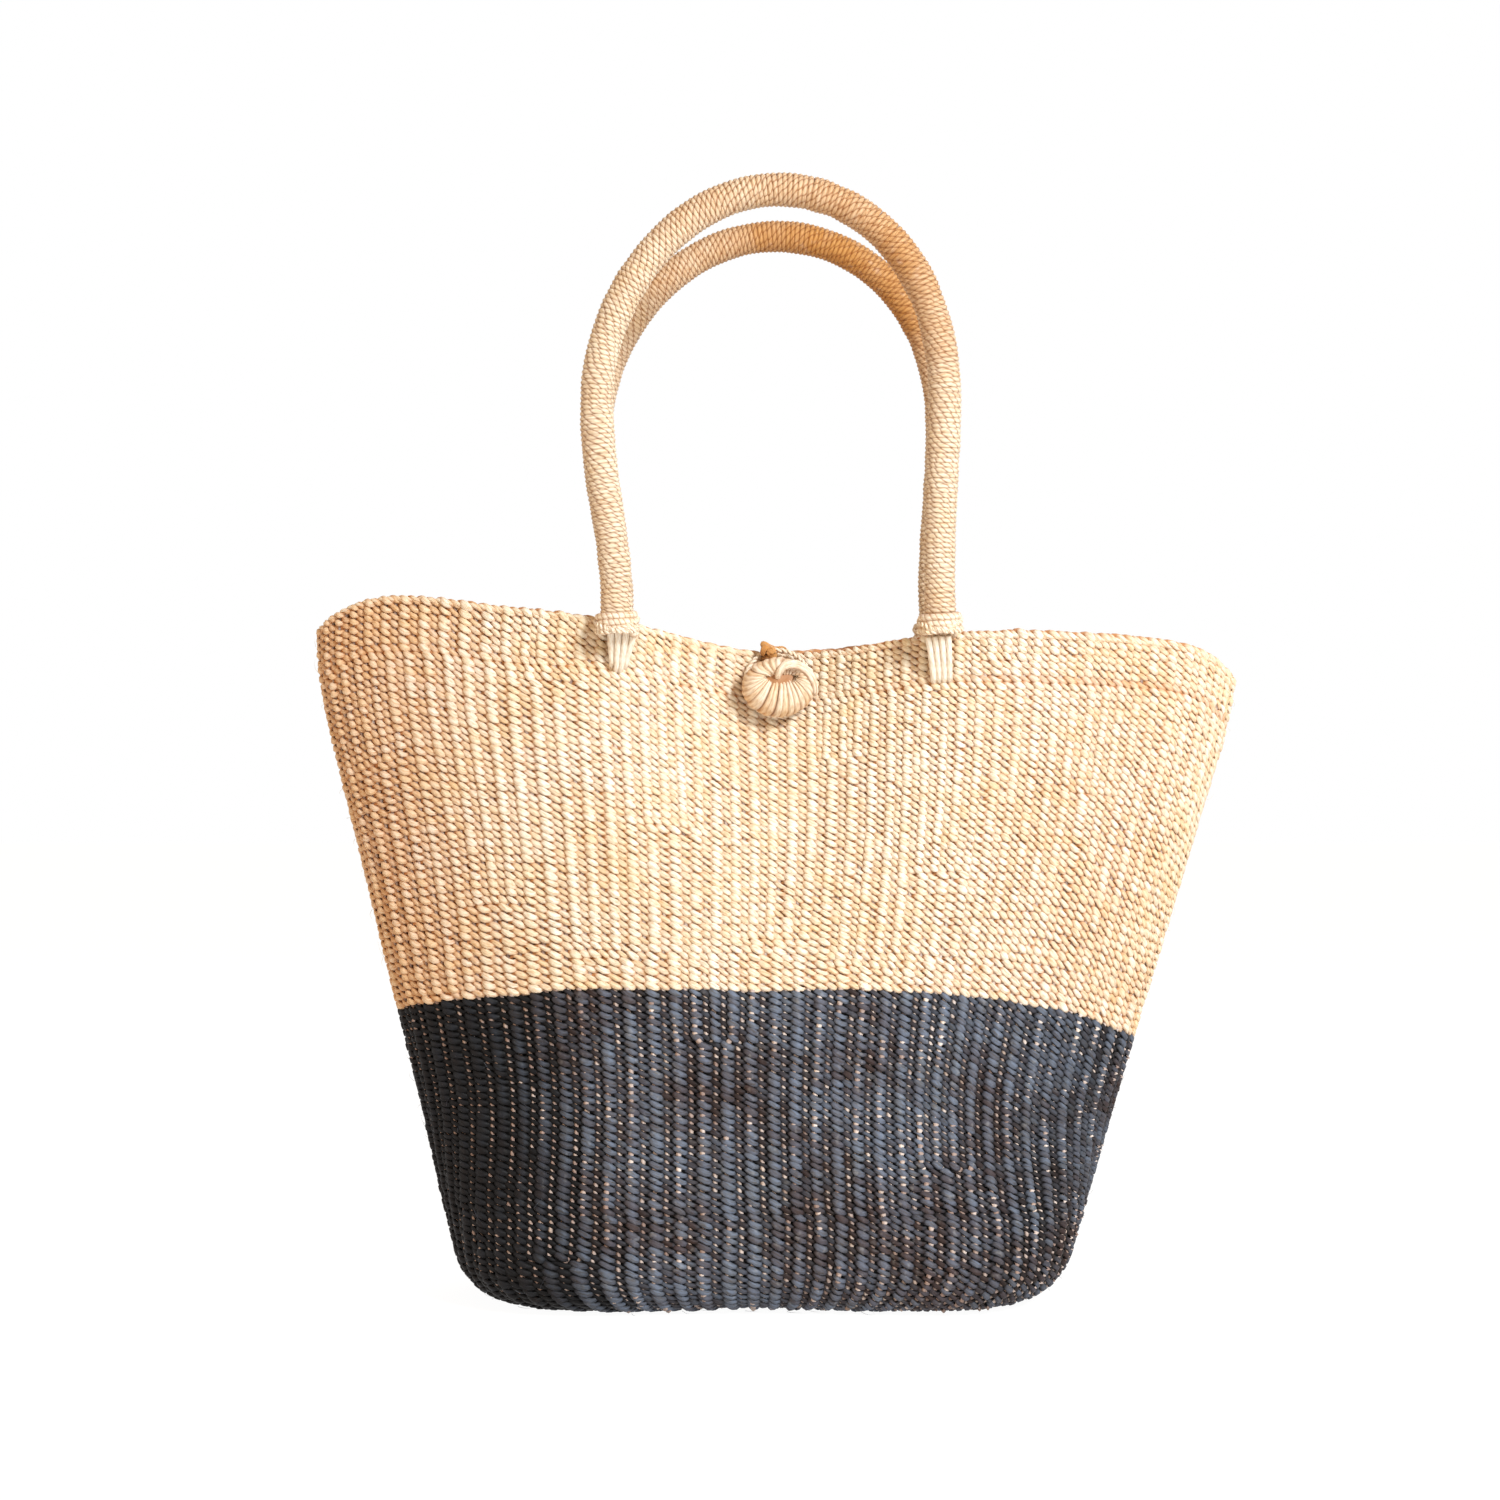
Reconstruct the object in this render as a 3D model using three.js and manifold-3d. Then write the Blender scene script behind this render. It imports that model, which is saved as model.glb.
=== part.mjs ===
// A woven market handbag of banana fibre. Its oval body flares from a flat base to a long rim, dark below
// and pale above. Two stiff rope handles stand on the rim, and a cord loop from the back rim holds a wound
// knot on the front, which draws the middle of the mouth together.
// Millimetres, +Z up. The front faces -Y, and the origin is on the floor under the middle of the bag.

import * as THREE from "three";
import { mergeVertices } from "three/addons/utils/BufferGeometryUtils.js";
import Module from "manifold-3d";

const wasm = await Module();
wasm.setup();

// Body: heights from the floor, and half sizes of the oval plan
const RIM_HEIGHT = 349;
const BAND_HEIGHT = 161;
const WALL = 4.5;
const FLOOR_HALF_WIDTH = 154;
const FLOOR_HALF_DEPTH = 72;
const RIM_HALF_DEPTH = 48;
const SIDE_FLARE = 0.2755;
const FLARE_EASE_HEIGHT = 274.5;
const FLARE_EASE = 0.002;
const BASE_CORNER = 24;
const BASE_CORNER_DEPTH = 20;
const BASE_FULLNESS = 1;
const BASE_FULLNESS_HEIGHT = 120;
const BASE_SHIFT = 8;
const TOP_SHIFT = 1.85;

// How the weaving rows run: lower at both ends, a little higher on the left
const LEFT_ROW_DROP = 17;
const RIGHT_ROW_DROP = 29;
const ROW_TILT = 8.5;
const SAG_POWER_LOW = 3;
const SAG_POWER_HIGH = 8;
const SAG_POWER_LEVELS = [0.46, 1];
const SAG_LEVELS = [0.1, 0.45];

// How the loop draws the mouth together
const PINCH_WIDTH = 62;
const PINCHED_HALF_DEPTH = 8.5;
const RIM_DIP = 17;
const RIM_DIP_WIDTH = 72;
const PINCH_START = 0.42;

// Rim
const RIM_BAND_HEIGHT = 7;
const RIM_BAND_PROUD = 0.8;
const HEM_DEPTH = 21;
const HEM_THICKNESS = 1.7;

// Handles
const HANDLE_DIAMETER = 17.2;
const HANDLE_CORE_DIAMETER = 10.6;
const HANDLE_ARCH_HEIGHT = 106;
const HANDLE_SWAY = 4;
const HANDLE_STRAIGHT_FOOT = 18;
const HANDLE_FOOT_HEIGHT = 344;
const HANDLE_LEAN = 2.2;
const HANDLES = {
  front: { side: -1, top: 563, footSpacing: 163, archHalfWidth: 87.5 },
  back: { side: 1, top: 560.5, footSpacing: 170, archHalfWidth: 93 },
};
const FOOT_DIAMETER = 17;
const COLLAR_HEIGHT = 8;
const COLLAR_THICKNESS = 1.7;

// Cords that sew the handles to the wall
const ANCHOR_STRANDS = 4;
const ANCHOR_STRAND = 3.4;
const ANCHOR_LENGTH = 16;
const ANCHOR_START = 12;
const ANCHOR_TAPER = 0.6;
const ANCHOR_FURROW = 0.35;
const ANCHOR_CROWN = 0.75;

// Closure
const KNOT_WIDTH = 34.6;
const KNOT_THICKNESS = 17.8;
const KNOT_TURNS = 20;
const KNOT_GROOVE = 0.9;
const KNOT_HEIGHT = 314.5;
const SHANK_DIAMETER = 6;
const SHANK_SPAN = 1.5;
const SHANK_PAD_WIDTH = 11;
const SHANK_PAD_THICKNESS = 1.6;
const LOOP_CORD = 2.5;
const LOOP_EYE_WIDTH = 9;
const LOOP_REACH = 2.4;
const TAB_WIDTH = 9;
const TAB_THICKNESS = 2.6;
const TAB_BACK_LENGTH = 20;
const TAB_SEAM_HEIGHT = 7;

// Gaps left between pieces that touch or turn past each other
const CLEARANCE = 0.3;
const LOOP_CLEARANCE = 0.6;
const LOOP_WALL_GAP = 0.9;
const TAB_CLEARANCE = 0.8;
const COLLAR_CLEARANCE = 0.8;
const SHANK_CLEARANCE = 0.5;
const HEM_CLEARANCE = 0.7;

// How finely the round shapes are divided
const AROUND = 64;
const HANDLE_STEPS = 44;
const HANDLE_SIDES = 10;
const HANDLE_LEG_POINTS = 7;
const HANDLE_ARCH_POINTS = 14;
const KNOT_PROFILE_STEPS = 11;
const SEARCH_REACH = 32;

const colour = (name, hex, roughness) => {
  return new THREE.MeshStandardMaterial({ name, color: hex, roughness, metalness: 0 });
};
const paleFibre = colour("pale_fibre", 0xd9c3a0, 0.75);
const darkFibre = colour("dark_fibre", 0x3a4049, 0.8);
const ropeFibre = colour("rope_fibre", 0xcdb18a, 0.7);
const cordFibre = colour("cord_fibre", 0xc7a274, 0.7);
const coreFibre = colour("core_fibre", 0xa98b62, 0.9);

const bag = new THREE.Group();
bag.name = "banana_fibre_handbag";

function addPiece(name, geometry, material) {
  const piece = new THREE.Mesh(geometry, material);
  piece.name = name;
  bag.add(piece);
  return piece;
}

// The shape of the body

const cornerLength = (BASE_CORNER * Math.PI) / 2;

// Rise is measured up along the wall from the edge of the flat base, over the rounded corner.
function riseAt(height) {
  return cornerLength + height - BASE_CORNER;
}
const RIM_RISE = riseAt(RIM_HEIGHT);
const BAND_RISE = riseAt(BAND_HEIGHT);
const BAND_FOOT_RISE = RIM_RISE - RIM_BAND_HEIGHT;

function plainHeight(rise) {
  if (rise < 0) return 0;
  if (rise < cornerLength) return BASE_CORNER * (1 - Math.cos(rise / BASE_CORNER));
  return rise - cornerLength + BASE_CORNER;
}

// Share of the corner's radius by which the outline is drawn in at this rise
function cornerInset(rise) {
  if (rise < 0) return 1 - rise / BASE_CORNER;
  if (rise < cornerLength) return 1 - Math.sin(rise / BASE_CORNER);
  return 0;
}

function halfWidth(height) {
  const eased = Math.max(0, height - FLARE_EASE_HEIGHT);
  return FLOOR_HALF_WIDTH + SIDE_FLARE * height - FLARE_EASE * eased * eased;
}

function halfDepth(height) {
  const level = Math.max(0, height / RIM_HEIGHT);
  return FLOOR_HALF_DEPTH - (FLOOR_HALF_DEPTH - RIM_HALF_DEPTH) * Math.pow(level, 1.2);
}

// The oval's middle lies a little left at the floor, and a little right at the rim.
function middleX(height) {
  return THREE.MathUtils.lerp(-BASE_SHIFT, TOP_SHIFT, THREE.MathUtils.clamp(height / RIM_HEIGHT, 0, 1));
}

// How strongly the loop's pull is felt at this level: none low down, all of it at the rim
function pull(level) {
  const share = (level - PINCH_START) / (1 - PINCH_START);
  return Math.pow(THREE.MathUtils.clamp(share, 0, 1.1), 1.3);
}

// How far the front stands forward round the plan: an oval's cosine, filled out towards its ends at the base
function fullCosine(angle, height) {
  const along = Math.sin(angle);
  const fullness = BASE_FULLNESS * (1 - THREE.MathUtils.smoothstep(height, 0, BASE_FULLNESS_HEIGHT));
  return Math.cos(angle) * (1 + fullness * along * along);
}

// A point on the outer face. The angle runs from the front (0) by the right end (90 degrees) to the back.
function outerPoint(rise, angle) {
  const along = Math.sin(angle);
  const plain = plainHeight(rise);
  const level = plain / RIM_HEIGHT;
  const plainX = middleX(plain) + halfWidth(plain) * along;
  const drop = along < 0 ? LEFT_ROW_DROP : RIGHT_ROW_DROP;
  const powerShare = THREE.MathUtils.smoothstep(level, ...SAG_POWER_LEVELS);
  const sagPower = THREE.MathUtils.lerp(SAG_POWER_LOW, SAG_POWER_HIGH, powerShare);
  const sagShare = THREE.MathUtils.smoothstep(level, ...SAG_LEVELS);
  const endDrop = drop * Math.pow(Math.abs(along), sagPower) * sagShare;
  const dip = RIM_DIP * Math.exp(-Math.pow(plainX / RIM_DIP_WIDTH, 2)) * pull(level);
  const height = plain - ROW_TILT * along * level * level - endDrop - dip;
  const inset = cornerInset(rise);
  const x = middleX(height) + (halfWidth(height) - inset * BASE_CORNER) * along;
  const closing = (1 - PINCHED_HALF_DEPTH / RIM_HALF_DEPTH) * Math.exp(-Math.pow(x / PINCH_WIDTH, 2));
  const depth = (halfDepth(height) - inset * BASE_CORNER_DEPTH) * (1 - closing * pull(level));
  return new THREE.Vector3(x, -depth * fullCosine(angle, plain), height);
}

function outwardNormal(rise, angle) {
  const step = 0.02;
  const across = outerPoint(rise, angle + step).sub(outerPoint(rise, angle - step));
  const up = outerPoint(rise + 1, angle).sub(outerPoint(rise - 1, angle));
  return across.cross(up).normalize();
}

// A point inside the wall's outer face by the given depth, or outside it where the depth is negative
function wallPoint(rise, angle, depth) {
  return outerPoint(rise, angle).addScaledVector(outwardNormal(rise, angle), -depth);
}

// The angle at which a row reaches this x, on the front or the back
function angleAt(x, rise, back) {
  const height = plainHeight(rise);
  const along = (x - middleX(height)) / halfWidth(height);
  const angle = Math.asin(THREE.MathUtils.clamp(along, -1, 1));
  return back ? Math.PI - angle : angle;
}

// Least distance from any of the points to the outer face of the front wall, between two rises
function leastGap(points, lowRise, highRise) {
  let least = Infinity;
  for (const point of points) {
    for (let rise = lowRise; rise <= highRise; rise += 2) {
      for (let offset = -SEARCH_REACH; offset <= SEARCH_REACH; offset += 4) {
        const angle = angleAt(point.x + offset, rise, false);
        least = Math.min(least, point.distanceTo(outerPoint(rise, angle)));
      }
    }
  }
  return least;
}

// The value at which a test that fails when low and holds when high begins to hold
function firstThatHolds(low, high, holds) {
  for (let i = 0; i < 24; i++) {
    const middle = (low + high) / 2;
    if (holds(middle)) high = middle;
    else low = middle;
  }
  return high;
}

function bare(geometry) {
  geometry.deleteAttribute("normal");
  geometry.deleteAttribute("uv");
  return mergeVertices(geometry, 1e-4);
}

function moveVertices(geometry, place) {
  const position = geometry.attributes.position;
  const vertex = new THREE.Vector3();
  for (let i = 0; i < position.count; i++) {
    vertex.fromBufferAttribute(position, i);
    const moved = place(vertex);
    position.setXYZ(i, moved.x, moved.y, moved.z);
  }
  return bare(geometry);
}

// Evenly spaced angles are drawn together at the middle of the front and back, where the wall bends in.
const MIDDLE_SHARE = 0.4;
function closerAtMiddle(angle) {
  return angle - (MIDDLE_SHARE * Math.sin(2 * angle)) / 2;
}

// A ring round the body from a closed profile of [depth, rise] pairs
const LATHE_RADIUS = 100;
function ringOnBody(profile) {
  const points = profile.map(([depth, rise]) => new THREE.Vector2(LATHE_RADIUS - depth, rise));
  points.push(points[0].clone());
  return moveVertices(new THREE.LatheGeometry(points, AROUND), (vertex) => {
    const even = Math.atan2(vertex.x, vertex.z);
    const depth = LATHE_RADIUS - Math.hypot(vertex.x, vertex.z);
    return wallPoint(vertex.y, closerAtMiddle(even), depth);
  });
}

// Even steps from one rise to another
function evenRises(low, high, rows) {
  return Array.from({ length: rows + 1 }, (_, i) => THREE.MathUtils.lerp(low, high, i / rows));
}

// A wall between two depths, through a list of rises
function wallRing(rises, outerDepth, innerDepth) {
  const outside = rises.map((rise) => [outerDepth, rise]);
  const inside = rises.map((rise) => [innerDepth, rise]).reverse();
  return ringOnBody([...outside, ...inside]);
}

// Body

function makeBasePanel() {
  const width = halfWidth(0) - BASE_CORNER - CLEARANCE;
  const depth = FLOOR_HALF_DEPTH - BASE_CORNER_DEPTH - CLEARANCE;
  const edge = Array.from({ length: AROUND }, (_, i) => {
    const angle = closerAtMiddle((2 * Math.PI * i) / AROUND);
    return new THREE.Vector2(width * Math.sin(angle), -depth * fullCosine(angle, 0));
  });
  const panel = new THREE.ExtrudeGeometry(new THREE.Shape(edge), { depth: WALL, bevelEnabled: false });
  panel.translate(middleX(0), 0, 0);
  return bare(panel);
}

function makeRimBand() {
  const low = BAND_FOOT_RISE;
  const out = -RIM_BAND_PROUD;
  const inside = WALL + RIM_BAND_PROUD;
  const round = RIM_BAND_HEIGHT * 0.35;
  return ringOnBody([
    [out, low],
    [out, RIM_RISE - round],
    [out + round, RIM_RISE],
    [inside - round, RIM_RISE],
    [inside, RIM_RISE - round],
    [inside, low],
  ]);
}

addPiece("base_panel", makeBasePanel(), darkFibre);

// The hem doubles the wall below the rim band, from one row of the wall to its last.
const HEM_RISE = RIM_RISE - HEM_DEPTH;
const WALL_END_RISE = BAND_FOOT_RISE - 2 * CLEARANCE;
const hemDepth = WALL + HEM_CLEARANCE;

addPiece(
  "lower_wall",
  wallRing([...evenRises(0, cornerLength, 4), ...evenRises(cornerLength, BAND_RISE, 3).slice(1)], 0, WALL),
  darkFibre,
);
addPiece(
  "upper_wall",
  wallRing([...evenRises(BAND_RISE + CLEARANCE, HEM_RISE, 7), WALL_END_RISE], 0, WALL),
  paleFibre,
);
addPiece("rim_band", makeRimBand(), paleFibre);
addPiece(
  "inner_hem",
  wallRing([HEM_RISE, WALL_END_RISE], hemDepth, hemDepth + HEM_THICKNESS),
  paleFibre,
);

// Handles

const footRadius = FOOT_DIAMETER / 2;
const handleRadius = HANDLE_DIAMETER / 2;
const coreRadius = HANDLE_CORE_DIAMETER / 2;
const boreRadius = coreRadius + CLEARANCE;

// The wrap starts where its bore has cleared the round foot below it.
const wrapStart = Math.sqrt(Math.pow(footRadius + CLEARANCE, 2) - boreRadius * boreRadius) + CLEARANCE;

// Both feet of a handle turn on one line along X, just outside the rim.
function footReach(handle) {
  const reach = footRadius + CLEARANCE + RIM_BAND_PROUD;
  return firstThatHolds(20, 90, (y) => {
    const feet = [-1, 1].map((end) => {
      return new THREE.Vector3((end * handle.footSpacing) / 2, -y, HANDLE_FOOT_HEIGHT);
    });
    return leastGap(feet, RIM_RISE - 24, RIM_RISE) >= reach;
  });
}

// The rope's centre line, from a height above the left foot, over the arch, to that height on the right.
// It stands in the XZ plane with its feet at height 0, and between them it sways a little to the left.
function handleLine(handle, start) {
  const top = handle.top - HANDLE_FOOT_HEIGHT;
  const archBase = top - HANDLE_ARCH_HEIGHT;
  const points = [];
  const swayed = (x, height) => {
    const sway = HANDLE_SWAY * Math.pow(Math.sin((Math.PI * height) / top), 2);
    return new THREE.Vector3(x - sway, 0, height);
  };
  const legAt = (end, i) => {
    const height = THREE.MathUtils.lerp(start, archBase, i / HANDLE_LEG_POINTS);
    const swell = THREE.MathUtils.smoothstep(height, HANDLE_STRAIGHT_FOOT, archBase);
    return swayed(end * THREE.MathUtils.lerp(handle.footSpacing / 2, handle.archHalfWidth, swell), height);
  };
  for (let i = 0; i < HANDLE_LEG_POINTS; i++) points.push(legAt(-1, i));
  for (let i = 0; i <= HANDLE_ARCH_POINTS; i++) {
    const turn = Math.PI * (1 - i / HANDLE_ARCH_POINTS);
    const height = archBase + HANDLE_ARCH_HEIGHT * Math.sin(turn);
    points.push(swayed(handle.archHalfWidth * Math.cos(turn), height));
  }
  for (let i = HANDLE_LEG_POINTS - 1; i >= 0; i--) points.push(legAt(1, i));
  return new THREE.CatmullRomCurve3(points);
}

function circle(radius) {
  return new THREE.Shape(new THREE.EllipseCurve(0, 0, radius, radius).getPoints(HANDLE_SIDES));
}

function makeHandleWrap(handle) {
  const section = circle(handleRadius);
  section.holes.push(circle(boreRadius));
  return bare(
    new THREE.ExtrudeGeometry(section, {
      steps: HANDLE_STEPS,
      extrudePath: handleLine(handle, wrapStart),
      bevelEnabled: false,
    }),
  );
}

function solidFrom(geometry) {
  const merged = bare(geometry);
  return new wasm.Manifold(
    new wasm.Mesh({
      numProp: 3,
      vertProperties: merged.attributes.position.array,
      triVerts: new Uint32Array(merged.index.array),
    }),
  );
}

function geometryFrom(solid) {
  const mesh = solid.getMesh();
  return new THREE.BufferGeometry()
    .setAttribute("position", new THREE.BufferAttribute(new Float32Array(mesh.vertProperties), 3))
    .setIndex(new THREE.BufferAttribute(new Uint32Array(mesh.triVerts), 1));
}

// The core is a bundle of fibre with a round knob bound at each end, which turns against the rim.
function makeHandleCore(handle) {
  const rod = new THREE.ExtrudeGeometry(circle(coreRadius), {
    steps: HANDLE_STEPS,
    extrudePath: handleLine(handle, 0),
    bevelEnabled: false,
  });
  let core = solidFrom(rod);
  for (const end of [-1, 1]) {
    const knob = new THREE.SphereGeometry(footRadius, 14, 10).rotateX(Math.PI / 2);
    knob.translate((end * handle.footSpacing) / 2, 0, 0);
    core = core.add(solidFrom(knob));
  }
  return geometryFrom(core);
}

function makeCollar() {
  const inner = handleRadius + COLLAR_CLEARANCE;
  const outer = inner + COLLAR_THICKNESS;
  const bulge = outer + COLLAR_THICKNESS / 3;
  const profile = [
    [inner, 0],
    [outer, 0],
    [bulge, COLLAR_HEIGHT / 2],
    [outer, COLLAR_HEIGHT],
    [inner, COLLAR_HEIGHT],
    [inner, 0],
  ].map(([radius, height]) => new THREE.Vector2(radius, height));
  return bare(new THREE.LatheGeometry(profile, 14)).rotateX(Math.PI / 2);
}

function addHandle(face) {
  const handle = HANDLES[face];
  const stand = new THREE.Group();
  stand.position.set(0, handle.side * footReach(handle), HANDLE_FOOT_HEIGHT);
  stand.rotation.x = THREE.MathUtils.degToRad(-handle.side * HANDLE_LEAN);
  bag.add(stand);
  stand.add(addPiece(`${face}_handle_wrap`, makeHandleWrap(handle), ropeFibre));
  stand.add(addPiece(`${face}_handle_core`, makeHandleCore(handle), coreFibre));
  for (const [label, end] of [["left", -1], ["right", 1]]) {
    const collar = addPiece(`${face}_handle_${label}_collar`, makeCollar(), cordFibre);
    collar.position.set((end * handle.footSpacing) / 2, 0, wrapStart + 2 * CLEARANCE);
    stand.add(collar);
  }
}

addHandle("front");
addHandle("back");

// Cords that sew the handles' feet to the wall: a row of parallel strands outside, and one inside

function makeAnchor(x, back, inside) {
  const width = ANCHOR_STRANDS * ANCHOR_STRAND;
  const top = RIM_RISE - ANCHOR_START;
  const hem = HEM_CLEARANCE + HEM_THICKNESS + HEM_CLEARANCE;
  const strip = new THREE.BoxGeometry(width, ANCHOR_LENGTH, 1, ANCHOR_STRANDS * 2, 2, 1);
  return moveVertices(strip, (vertex) => {
    const down = 0.5 - vertex.y / ANCHOR_LENGTH;
    const narrow = 1 - (x < 0 ? ANCHOR_TAPER * down : 0);
    const rise = top - down * ANCHOR_LENGTH;
    const across = vertex.x / width + 0.5;
    const strand = Math.abs(Math.sin(Math.PI * across * ANCHOR_STRANDS));
    const thickness = ANCHOR_STRAND * THREE.MathUtils.lerp(ANCHOR_FURROW, ANCHOR_CROWN, strand);
    const shown = vertex.z > 0 ? thickness : 0;
    const depth = inside ? WALL + hem + shown : -CLEARANCE - shown;
    const flip = back === inside ? 1 : -1;
    return wallPoint(rise, angleAt(x + flip * vertex.x * narrow, rise, back), depth);
  });
}

for (const [face, back] of [["front", false], ["back", true]]) {
  for (const [label, end] of [["left", -1], ["right", 1]]) {
    const x = (end * HANDLES[face].footSpacing) / 2;
    addPiece(`${face}_${label}_anchor`, makeAnchor(x, back, false), cordFibre);
    addPiece(`${face}_${label}_inner_anchor`, makeAnchor(x, back, true), cordFibre);
  }
}

// Closure: the tab over the rim, the loop that hangs from it, and the knot that the loop holds

const middleRim = outerPoint(RIM_RISE, 0);
const rimOuterY = middleRim.y - RIM_BAND_PROUD;

const loopRadius = LOOP_CORD / 2;
const loopHinge = new THREE.Vector3(
  0,
  rimOuterY - LOOP_REACH - loopRadius,
  middleRim.z + CLEARANCE + TAB_THICKNESS / 2,
);

// The knot is a ring so tightly wound that its hole has closed to a dimple.
const knotTube = KNOT_THICKNESS / 2;
const knotRing = KNOT_WIDTH / 2 - knotTube;
const shankRadius = SHANK_DIAMETER / 2;

// Distance of the shank's round tip from the knot's middle plane, where it meets the dimple
const tipReach = knotTube + shankRadius + CLEARANCE;
const tipDepth = Math.sqrt(tipReach * tipReach - knotRing * knotRing);
const shankSeat = firstThatHolds(5, 40, (y) => {
  const tip = new THREE.Vector3(0, -y, KNOT_HEIGHT);
  return leastGap([tip], RIM_RISE - 60, RIM_RISE) >= shankRadius + SHANK_CLEARANCE;
});
const shankY = -shankSeat;
const knotY = shankY - SHANK_SPAN - tipDepth;

function makeKnot() {
  const open = Math.acos(-knotRing / knotTube);
  const profile = [];
  for (let i = 0; i <= KNOT_PROFILE_STEPS; i++) {
    const turn = THREE.MathUtils.lerp(-open, open, i / KNOT_PROFILE_STEPS);
    const radius = i % KNOT_PROFILE_STEPS === 0 ? 0 : knotRing + knotTube * Math.cos(turn);
    profile.push(new THREE.Vector2(radius, knotTube * Math.sin(turn)));
  }
  const knot = new THREE.LatheGeometry(profile, KNOT_TURNS * 3);
  return moveVertices(knot, (vertex) => {
    const angle = Math.atan2(vertex.x, vertex.z);
    const radius = Math.hypot(vertex.x, vertex.z);
    const groove = KNOT_GROOVE * (1 - Math.abs(Math.sin((KNOT_TURNS * angle) / 2)));
    const shrink = radius < 0.01 ? 1 : 1 - groove / (knotTube + radius);
    return vertex.set(vertex.x * shrink, vertex.y * shrink, vertex.z * shrink);
  }).rotateX(Math.PI);
}

const knot = addPiece("closure_knot", makeKnot(), cordFibre);
knot.position.set(0, knotY, KNOT_HEIGHT);

const shank = addPiece(
  "knot_shank",
  bare(new THREE.CapsuleGeometry(shankRadius, SHANK_SPAN, 4, 10)),
  cordFibre,
);
shank.position.set(0, shankY - SHANK_SPAN / 2, KNOT_HEIGHT);

// The pad of stitches that holds the shank lies inside, on the hem.
const padDepth = hemDepth + HEM_THICKNESS + CLEARANCE;
const padRise = firstThatHolds(0, RIM_RISE, (rise) => wallPoint(rise, 0, padDepth).z >= KNOT_HEIGHT);
const pad = new THREE.BoxGeometry(SHANK_PAD_WIDTH, SHANK_PAD_WIDTH / 2, SHANK_PAD_THICKNESS, 4, 2, 1);
addPiece(
  "shank_pad",
  moveVertices(pad, (vertex) => {
    const rise = padRise + vertex.y;
    const depth = padDepth + SHANK_PAD_THICKNESS / 2 + vertex.z;
    return wallPoint(rise, angleAt(-vertex.x, rise, false), depth);
  }),
  cordFibre,
);

// The loop's centre line, hanging straight down from its eye: a short bar at the top, which turns at the
// tab, then an oval that is just wide and long enough to pass over the knot.
function loopLine() {
  const halfSpan = knotRing + knotTube + loopRadius + LOOP_CLEARANCE;
  const knotLow = new THREE.Vector2(knotY - loopHinge.y, KNOT_HEIGHT - knotRing - loopHinge.z);
  const reach = knotLow.length() + knotTube + loopRadius + LOOP_CLEARANCE;
  const widest = reach - halfSpan;
  const eye = LOOP_EYE_WIDTH / 2;
  const points = [];
  const upper = 8;
  for (let i = 0; i < upper; i++) {
    const turn = ((Math.PI / 2) * i) / upper;
    const x = eye + (halfSpan - eye) * Math.sin(turn);
    points.push(new THREE.Vector3(x, 0, -widest * (1 - Math.cos(turn))));
  }
  const lower = 16;
  for (let i = 0; i <= lower; i++) {
    const turn = (Math.PI * i) / lower;
    points.push(new THREE.Vector3(halfSpan * Math.cos(turn), 0, -widest - halfSpan * Math.sin(turn)));
  }
  for (let i = upper - 1; i >= 0; i--) {
    points.push(points[i].clone().setX(-points[i].x));
  }
  return points;
}

// It hangs against the wall, so it leans forward as far as the wall makes it.
const loopPoints = loopLine();
const leaned = (points, lean) => {
  const turn = new THREE.Quaternion().setFromAxisAngle(new THREE.Vector3(1, 0, 0), -lean);
  return points.map((point) => point.clone().applyQuaternion(turn).add(loopHinge));
};
const loopLean = firstThatHolds(0, 1, (lean) => {
  const low = leaned(loopPoints, lean).filter((point) => point.z < loopHinge.z - loopRadius);
  return leastGap(low, RIM_RISE - 70, RIM_RISE) >= loopRadius + LOOP_WALL_GAP;
});
const loop = addPiece(
  "closure_loop",
  bare(new THREE.TubeGeometry(new THREE.CatmullRomCurve3(loopPoints, true), 48, loopRadius, 6, true)),
  cordFibre,
);
loop.position.copy(loopHinge);
loop.rotation.x = -loopLean;

// The tab is a flat braid: up the back wall, over both rims, and forward to the loop.
function makeTab() {
  const backFace = (drop) => {
    const point = wallPoint(RIM_RISE - drop, Math.PI, -RIM_BAND_PROUD - TAB_CLEARANCE);
    return new THREE.Vector2(point.y, point.z);
  };
  const under = middleRim.z + CLEARANCE;
  const over = under + TAB_THICKNESS;
  const foot = backFace(TAB_BACK_LENGTH);
  const shoulder = -rimOuterY + TAB_CLEARANCE;
  const outline = new THREE.Shape();
  outline.moveTo(loopHinge.y + loopRadius + CLEARANCE, under);
  outline.lineTo(shoulder, under);
  outline.lineTo(foot.x, foot.y);
  outline.lineTo(foot.x + TAB_THICKNESS, foot.y);
  outline.lineTo(shoulder + TAB_THICKNESS, under);
  outline.quadraticCurveTo(shoulder + TAB_THICKNESS * 0.7, over, shoulder - TAB_THICKNESS * 0.3, over);
  outline.lineTo(loopHinge.y + loopRadius + CLEARANCE, over);
  const strip = new THREE.ExtrudeGeometry(outline, {
    depth: TAB_WIDTH,
    bevelEnabled: false,
    curveSegments: 4,
  });
  strip.translate(0, 0, -TAB_WIDTH / 2);
  return moveVertices(strip, (vertex) => vertex.set(vertex.z, vertex.x, vertex.y));
}
addPiece("loop_tab", makeTab(), ropeFibre);

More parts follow.
